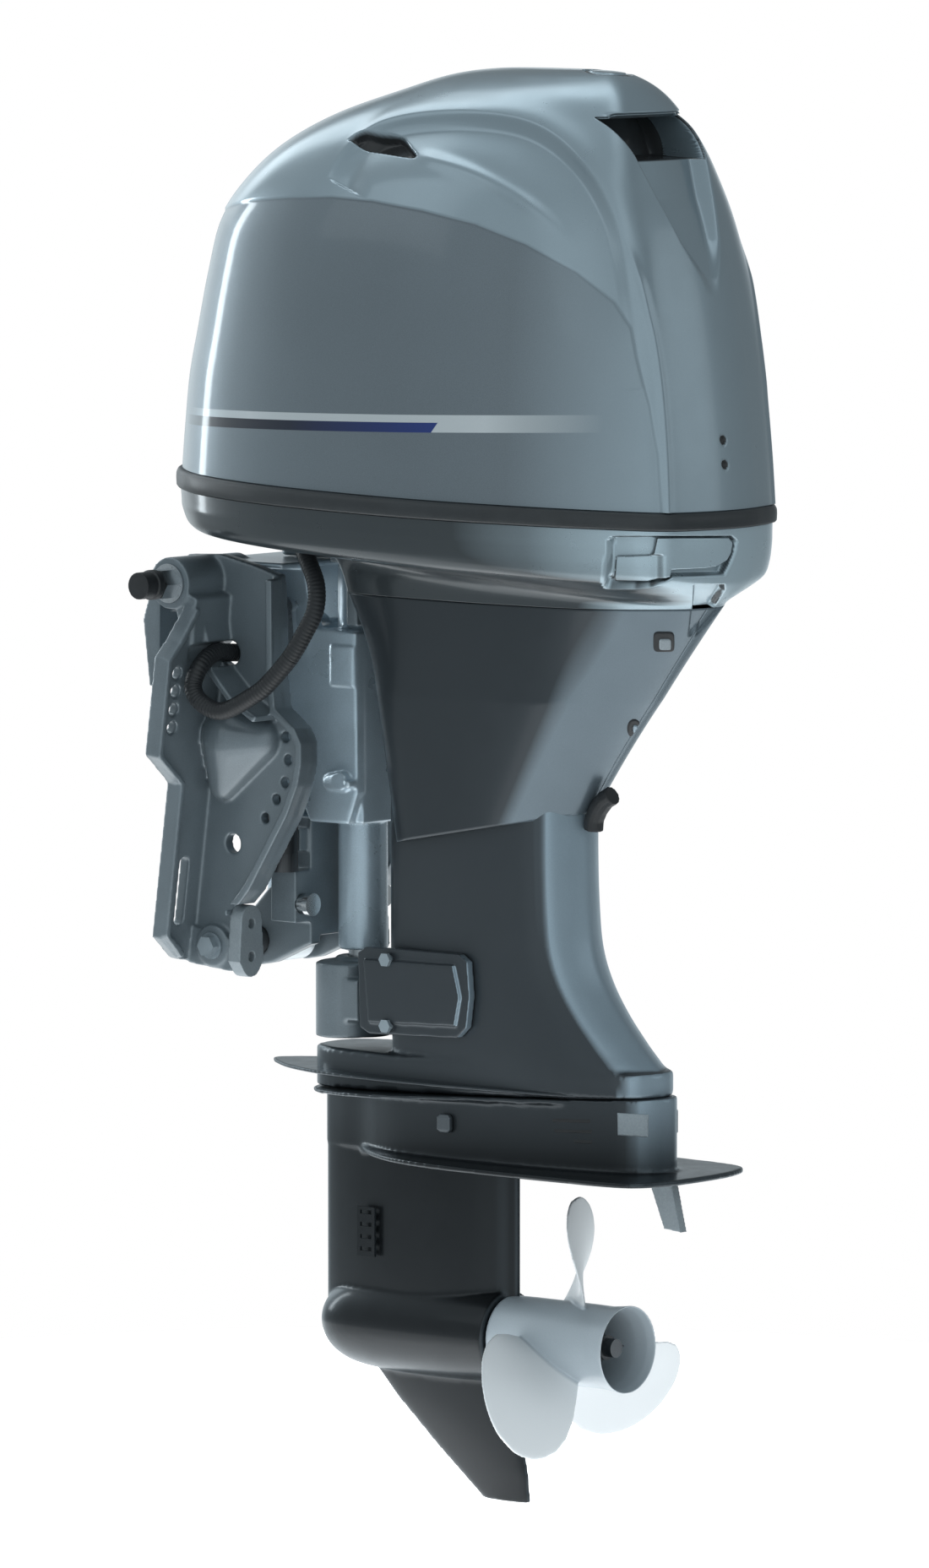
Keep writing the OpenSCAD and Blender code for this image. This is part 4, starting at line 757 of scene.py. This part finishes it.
# ------------------------------------------------------------------ patches that follow a surface
from mathutils.bvhtree import BVHTree
def bvh_of(V, F):
    return BVHTree.FromPolygons([tuple(v) for v in np.asarray(V)], [tuple(int(i) for i in f) for f in F])
def bvh_obj(ob):
    n = len(ob.data.vertices); co = np.empty(n * 3); ob.data.vertices.foreach_get("co", co)
    return bvh_of(co.reshape(-1, 3) * 1000, [p.vertices[:] for p in ob.data.polygons])
def patch(name, poly, tree, out, thick, mat, body, step=1.0, mirror=False, round_=1.2, dip=None):
    """a plate lying on a surface, its outline given in the view; out = height of its face over the surface"""
    poly = np.array(poly, float); lo, hi = poly.min(0) - step, poly.max(0) + step
    us = np.arange(lo[0], hi[0] + step, step); vs = np.arange(lo[1], hi[1] + step, step)
    U, W = np.meshgrid(us, vs); sd = sd_poly(np.stack([U.ravel(), W.ravel()], -1), poly).reshape(U.shape)
    idx = -np.ones(U.shape, int); top, bot = [], []
    for i in range(U.shape[0]):
        for j in range(U.shape[1]):
            if sd[i, j] < -step * 0.75: continue
            uu, ww = U[i, j], W[i, j]
            if sd[i, j] < 0:
                g = np.array([sd[i, min(j + 1, U.shape[1] - 1)] - sd[i, max(j - 1, 0)], sd[min(i + 1, U.shape[0] - 1), j] - sd[max(i - 1, 0), j]])
                g = g / max(np.linalg.norm(g), 1e-6); uu -= g[0] * sd[i, j]; ww -= g[1] * sd[i, j]
            d = R_ * (uu - 550) / 13900 + U_ * (928.5 - ww) / 13900 - B_; d /= np.linalg.norm(d)
            hit, nn, _f, _d = tree.ray_cast(Vector(CAM_C), Vector(d))
            if hit is None: continue
            nn = np.array(nn); nn = nn if nn @ B_ > 0 else -nn
            e = min(max(sd[i, j], 0) * 0.81 / round_, 1.0)
            o = out - (1 - math.sqrt(max(1 - (1 - e) ** 2, 0))) * min(round_, thick * 0.8)
            if dip: o += dip(uu, ww)
            idx[i, j] = len(top); top.append(np.array(hit) + nn * o); bot.append(np.array(hit) + nn * (out - thick))
    n = len(top); F = []; edge = {}
    for i in range(U.shape[0] - 1):
        for j in range(U.shape[1] - 1):
            q = [idx[i, j], idx[i, j + 1], idx[i + 1, j + 1], idx[i + 1, j]]
            q = [k for k in q if k >= 0]
            if len(q) < 3: continue
            F.append(q); F.append([n + k for k in q[::-1]])
            for a, b2 in zip(q, q[1:] + q[:1]):
                if (b2, a) in edge: del edge[(b2, a)]
                else: edge[(a, b2)] = 1
    F += [[b2, a, n + a, n + b2] for a, b2 in edge]
    V = np.array(top + bot)
    obs = [obj_from(name, V, F, mat, body)]
    if mirror:
        obs.append(obj_from(name + "_starboard", V * np.array([1, -1, 1]), F, mat, body))
    return obs

tray = bvh_of(*TRAY)
LEVER = [(778, 637.5), (864, 637), (869, 643), (867, 655), (862, 664), (850, 671), (836, 673.5), (796, 675.5), (794, 684), (774, 690), (766, 693), (728, 693), (726, 688), (728, 660), (770, 659), (774, 655)]
def grip(u, w_):
    k = smoothstep(np.array(790.0 - u), 0, 14) * smoothstep(np.array(w_ - 656.0), 0, 3)
    return -3.5 * float(k)
latch_ob = patch("latch_lever", LEVER, tray, -0.6, 4.0, M["tray_paint"], "latch", dip=grip)[0]
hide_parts("cowl_latch")

at = bvh_of(*APRON_PORT)
def ring(cx, cy, rx, ry, k=24, p=2.0):
    return [(cx + rx * math.copysign(abs(math.cos(t)) ** (2 / p), math.cos(t)), cy + ry * math.copysign(abs(math.sin(t)) ** (2 / p), math.sin(t))) for t in np.linspace(0, 2 * math.pi, k, endpoint=False)]
plug = patch("apron_plug_square", ring(786, 760, 12.5, 12, 32, 5), at, 1.4, 3.5, M["black_rubber"], "motor", round_=1.2)
patch("apron_plug_square_face", ring(787, 762, 7, 6.5, 24, 5), at, 2.6, 2.0, M["anode_zinc"], "motor", round_=0.8)
patch("apron_plug_round", ring(751, 863, 8.5, 11.5, 28), at, 1.2, 3.0, M["black_rubber"], "motor", round_=1.2)
patch("apron_plug_round_face", ring(751.5, 863, 4, 5.5, 20), at, 2.2, 2.0, M["leg_paint"], "motor", round_=0.8)
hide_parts("apron_plugs")
gc = bvh_obj(GEARCASE)
# thin black sheets over the relief slots stand for the shade inside the openings: painted shade
for i, (u0, u1, w0) in enumerate([(654, 699, 1327), (656, 701, 1339.5), (679, 701, 1352)]):
    patch("relief_slot_shade_sheet_%d" % (i + 1), [(u0, w0 - 2.6), (u1, w0 - 1.3), (u1, w0 + 3.0), (u0, w0 + 1.7)], gc, 0.2, 1.2, M["black_plastic"], "motor", step=0.7, mirror=True, round_=0.4)
patch("side_plate", [(731, 1318), (768, 1320), (767.5, 1347), (731.5, 1344.5)], gc, 0.9, 2.0, M["anode_zinc"], "motor", step=1.0, mirror=True, round_=0.8)
# ------------------------------------------------------------------ propeller
def propeller():
    PITCH = 356.0
    chord = lambda r: np.interp(r, [36, 55, 80, 100, 115, 127, 135, 140, 143], [72, 92, 116, 124, 118, 98, 74, 48, 20])
    parts = []
    us = np.concatenate([-0.5 * np.cos(np.linspace(0, math.pi, 25))])
    rr = np.concatenate([np.linspace(35, 120, 22), 120 + 22.4 * np.sin(np.linspace(0.08, math.pi / 2, 16))])
    for kb in range(3):
        th0 = -2 * math.pi * kb / 3
        R = []
        for r in rr:
            b = math.atan2(PITCH, 2 * math.pi * r); cc = chord(r); skew = math.radians(9 - 14 * ((r - 36) / 107) ** 2); rake = 2 + 0.16 * (r - 36)
            t0 = 2.2 + 5.0 * (1 - (r - 36) / 107) + 6 * max(0, (46 - r) / 10) ** 2
            ring = []
            for side, uu in ((1, us), (-1, us[-2:0:-1])):
                for u in uu:
                    th = t0 * max(1 - 4 * u * u, 0) ** 0.6 / 2 * side + 0.5 * side * (0 if abs(u) > 0.499 else 1)
                    a = skew + u * cc * math.cos(b) / r + th * math.sin(b) / r
                    x = 372 + rake - u * cc * math.sin(b) + th * math.cos(b)
                    aa = a + th0
                    ring.append((x, r * math.sin(aa), -719 + r * math.cos(aa)))
            R.append(ring)
        parts.append(loft(R))
    th = np.linspace(0, 2 * math.pi, 97)[:-1]
    prof = [(34,302),(38.6,301),(39.6,304),(40,330),(40,400),(39.7,425),(41.4,441),(42.3,447),(41.2,447),(38.6,438),(36.6,425),(35.5,400),(34,330)]
    parts.append((np.vstack([np.column_stack([np.full(96, x), r * np.sin(th), -719 + r * np.cos(th)]) for r, x in prof]), grid_faces(len(prof), 96, True, True)))
    prof = [(12.4,304),(20,304),(21,395),(19,396.8),(12.4,396.8)]
    parts.append((np.vstack([np.column_stack([np.full(96, x), r * np.sin(th), -719 + r * np.cos(th)]) for r, x in prof]), grid_faces(len(prof), 96, True, True)))
    for k in range(3):
        a = math.radians(120 * k + 60); ca, sa = math.cos(a), math.sin(a)
        V = []
        for x in (312, 388):
            for (t, rad) in ((-3.2, 19), (3.2, 19), (3.2, 36.5), (-3.2, 36.5)):
                V.append((x, rad * sa + t * ca, -719 + rad * ca - t * sa))
        parts.append((np.array(V), [(0, 1, 2, 3), (7, 6, 5, 4), (0, 4, 5, 1), (1, 5, 6, 2), (2, 6, 7, 3), (3, 7, 4, 0)]))
    ob = join_mesh("propeller_casting", parts)
    ob.data.materials.append(M["propeller_paint"])
    remesh(ob, 1.05, 5, 0.5)
    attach(ob, "prop"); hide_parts("propeller")
propeller()

# ------------------------------------------------------------------ harness conduit, ribbed, two static pieces curving across the steering and the tilt
ROUTE = [(131,-108,40),(147,-118,27),(164,-126,5),(168,-132,-18),(160,-138,-40),(146,-143,-64),(125,-148,-88),(107,-151,-102),(71,-155,-119),(45,-157,-112),(33,-155,-97),(35,-146,-78),(34,-125,-67),(32,-104,-68),(32,-80,-70)]
def conduit(name, node, i0, i1, body):
    n = (i1 - i0) * 34
    P = cr(np.array(ROUTE, float), np.linspace(i0, i1 - (0.001 if i1 == len(ROUTE) - 1 else 0), n))
    k = np.gradient(P, axis=0); k /= np.linalg.norm(k, axis=1, keepdims=True)
    s = np.cumsum(np.r_[0, np.linalg.norm(np.diff(P, axis=0), axis=1)])
    u = np.array([0, 1, 0.2]); R = []
    for i in range(n):
        u = u - k[i] * (u @ k[i]); u /= np.linalg.norm(u); v = np.cross(k[i], u)
        rib = 8.7 - 0.42 * (0.5 + 0.5 * math.cos(2 * math.pi * s[i] / 3.6)) ** 2
        th = np.linspace(0, 2 * math.pi, 25)[:-1]
        R.append(P[i] + rib * (np.cos(th)[:, None] * u + np.sin(th)[:, None] * v))
    V, F = loft(R)
    ob = obj_from(name, V, F, M["black_rubber"], body)
    ob.parent = None
    del ob["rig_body"]
    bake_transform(ob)
    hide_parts(node)
conduit("conduit_upper", "harness_upper", 0, 5, "motor")
conduit("conduit_lower", "harness_lower", 5, 14, "swivel")

# ------------------------------------------------------------------ floor, world, lights
fl = bpy.data.meshes.new("floor"); bm = bmesh.new()
bmesh.ops.create_circle(bm, cap_ends=True, radius=1.15, segments=96); bm.to_mesh(fl); bm.free()
floor = bpy.data.objects.new("floor", fl); floor.location = (0.2, 0, -0.884); bpy.context.scene.collection.objects.link(floor)
fm, nt, b = new_mat("floor_glow_pool")
nt.links.new(ramp(nt, noise(nt, 3, 3), [(0.3, (0.93, 0.93, 0.93)), (0.7, (0.96, 0.96, 0.96))]), b.inputs["Base Color"]); b.inputs["Roughness"].default_value = 0.9
b.inputs["Specular IOR Level"].default_value = 0.0
b.inputs["Emission Color"].default_value = (1, 1, 1, 1); 
# the floor glows evenly at 0.85 and up to 2.0 in a pool round (-0.10, -0.16) of its own coordinates: a painted pool of
# light that lights the undersides
hs = nt.nodes.new("ShaderNodeTexCoord"); hv = nt.nodes.new("ShaderNodeVectorMath"); hv.operation = "DISTANCE"; nt.links.new(hs.outputs["Object"], hv.inputs[0]); hv.inputs[1].default_value = (-0.10, -0.16, 0.0)
nt.links.new(maprange(nt, hv.outputs["Value"], 0.42, 0.12, 0.85, 2.0), b.inputs["Emission Strength"])
fl.materials.append(fm)

w = bpy.data.worlds.new("studio"); bpy.context.scene.world = w; w.use_nodes = True
nt = w.node_tree; nt.nodes.clear()
out = nt.nodes.new("ShaderNodeOutputWorld"); tc = nt.nodes.new("ShaderNodeTexCoord")
def dirdot(v, a, b2, lo, hi):
    d = nt.nodes.new("ShaderNodeVectorMath"); d.operation = "DOT_PRODUCT"
    nt.links.new(tc.outputs["Generated"], d.inputs[0]); d.inputs[1].default_value = v
    return maprange(nt, d.outputs["Value"], a, b2, lo, hi)
def addv(a, b2):
    m = nt.nodes.new("ShaderNodeMath"); m.operation = "ADD"; nt.links.new(a, m.inputs[0])
    if isinstance(b2, float): m.inputs[1].default_value = b2
    else: nt.links.new(b2, m.inputs[1])
    return m.outputs[0]
def mulv(a, b2):
    m = nt.nodes.new("ShaderNodeMath"); m.operation = "MULTIPLY"; nt.links.new(a, m.inputs[0]); nt.links.new(b2, m.inputs[1]); return m.outputs[0]
v = dirdot((0, 0, 1), 0.30, 0.95, 0.0, 0.12)
v = addv(v, dirdot((-0.30, -0.95, 0.0), -0.25, 0.45, 0.0, 0.30))
v = addv(v, dirdot((0.82, 0.57, 0.05), 0.45, 0.95, 0.0, 0.13))
v = addv(v, dirdot((0.62, -0.78, 0.05), 0.72, 0.97, 0.0, 0.45))
v = addv(v, mulv(dirdot((-0.62, 0.78, 0.0), 0.70, 0.97, 0.0, 0.6), dirdot((0, 0, 1), 0.12, 0.30, 1.0, 0.0)))
v = addv(v, dirdot((-0.93, 0.36, 0.1), 0.92, 0.99, 0.0, 0.45))
arc = (0.392, 0.909, -0.089)
band = mulv(mulv(dirdot(arc, -0.30, -0.17, 0.0, 1.0), dirdot(arc, -0.02, 0.10, 1.0, 0.0)), mulv(dirdot((0, 0, 1), 0.10, 0.38, 0.0, 1.0), dirdot((1, 0, 0), -0.2, 0.5, 1.0, 0.25)))
v = addv(v, mulv(band, dirdot((0, 0, 1), -2, -1, 1.0, 2.1)))
v = addv(v, 0.20)
em = nt.nodes.new("ShaderNodeBackground"); nt.links.new(v, em.inputs["Strength"]); em.inputs["Color"].default_value = (0.86, 0.955, 1.0, 1)
wh = nt.nodes.new("ShaderNodeBackground"); wh.inputs["Color"].default_value = (1, 1, 1, 1); wh.inputs["Strength"].default_value = 1.0
lp = nt.nodes.new("ShaderNodeLightPath"); mx = nt.nodes.new("ShaderNodeMixShader")
nt.links.new(lp.outputs["Is Camera Ray"], mx.inputs[0]); nt.links.new(em.outputs[0], mx.inputs[1]); nt.links.new(wh.outputs[0], mx.inputs[2]); nt.links.new(mx.outputs[0], out.inputs[0])

def area(name, loc, target, size, power, color=(0.88, 0.96, 1.0), sy=None):
    l = bpy.data.lights.new(name, "AREA"); l.energy = power; l.color = color; l.size = size
    if sy: l.shape = "RECTANGLE"; l.size_y = sy
    o = bpy.data.objects.new(name, l); o.location = loc
    o.rotation_euler = (Vector(loc) - Vector(target)).to_track_quat("Z", "Y").to_euler()
    bpy.context.scene.collection.objects.link(o); return o
area("aft_soft", (3.3, 1.3, 0.9), (0.3, 0, 0.0), 1.8, 5.5)
area("nose_strip", (-2.5, -0.30, 0.45), (0.0, 0, 0.25), 0.35, 16, sy=1.6)
area("port_fill", (-1.2, -3.4, 2.4), (0.2, 0, 0.3), 2.6, 10)
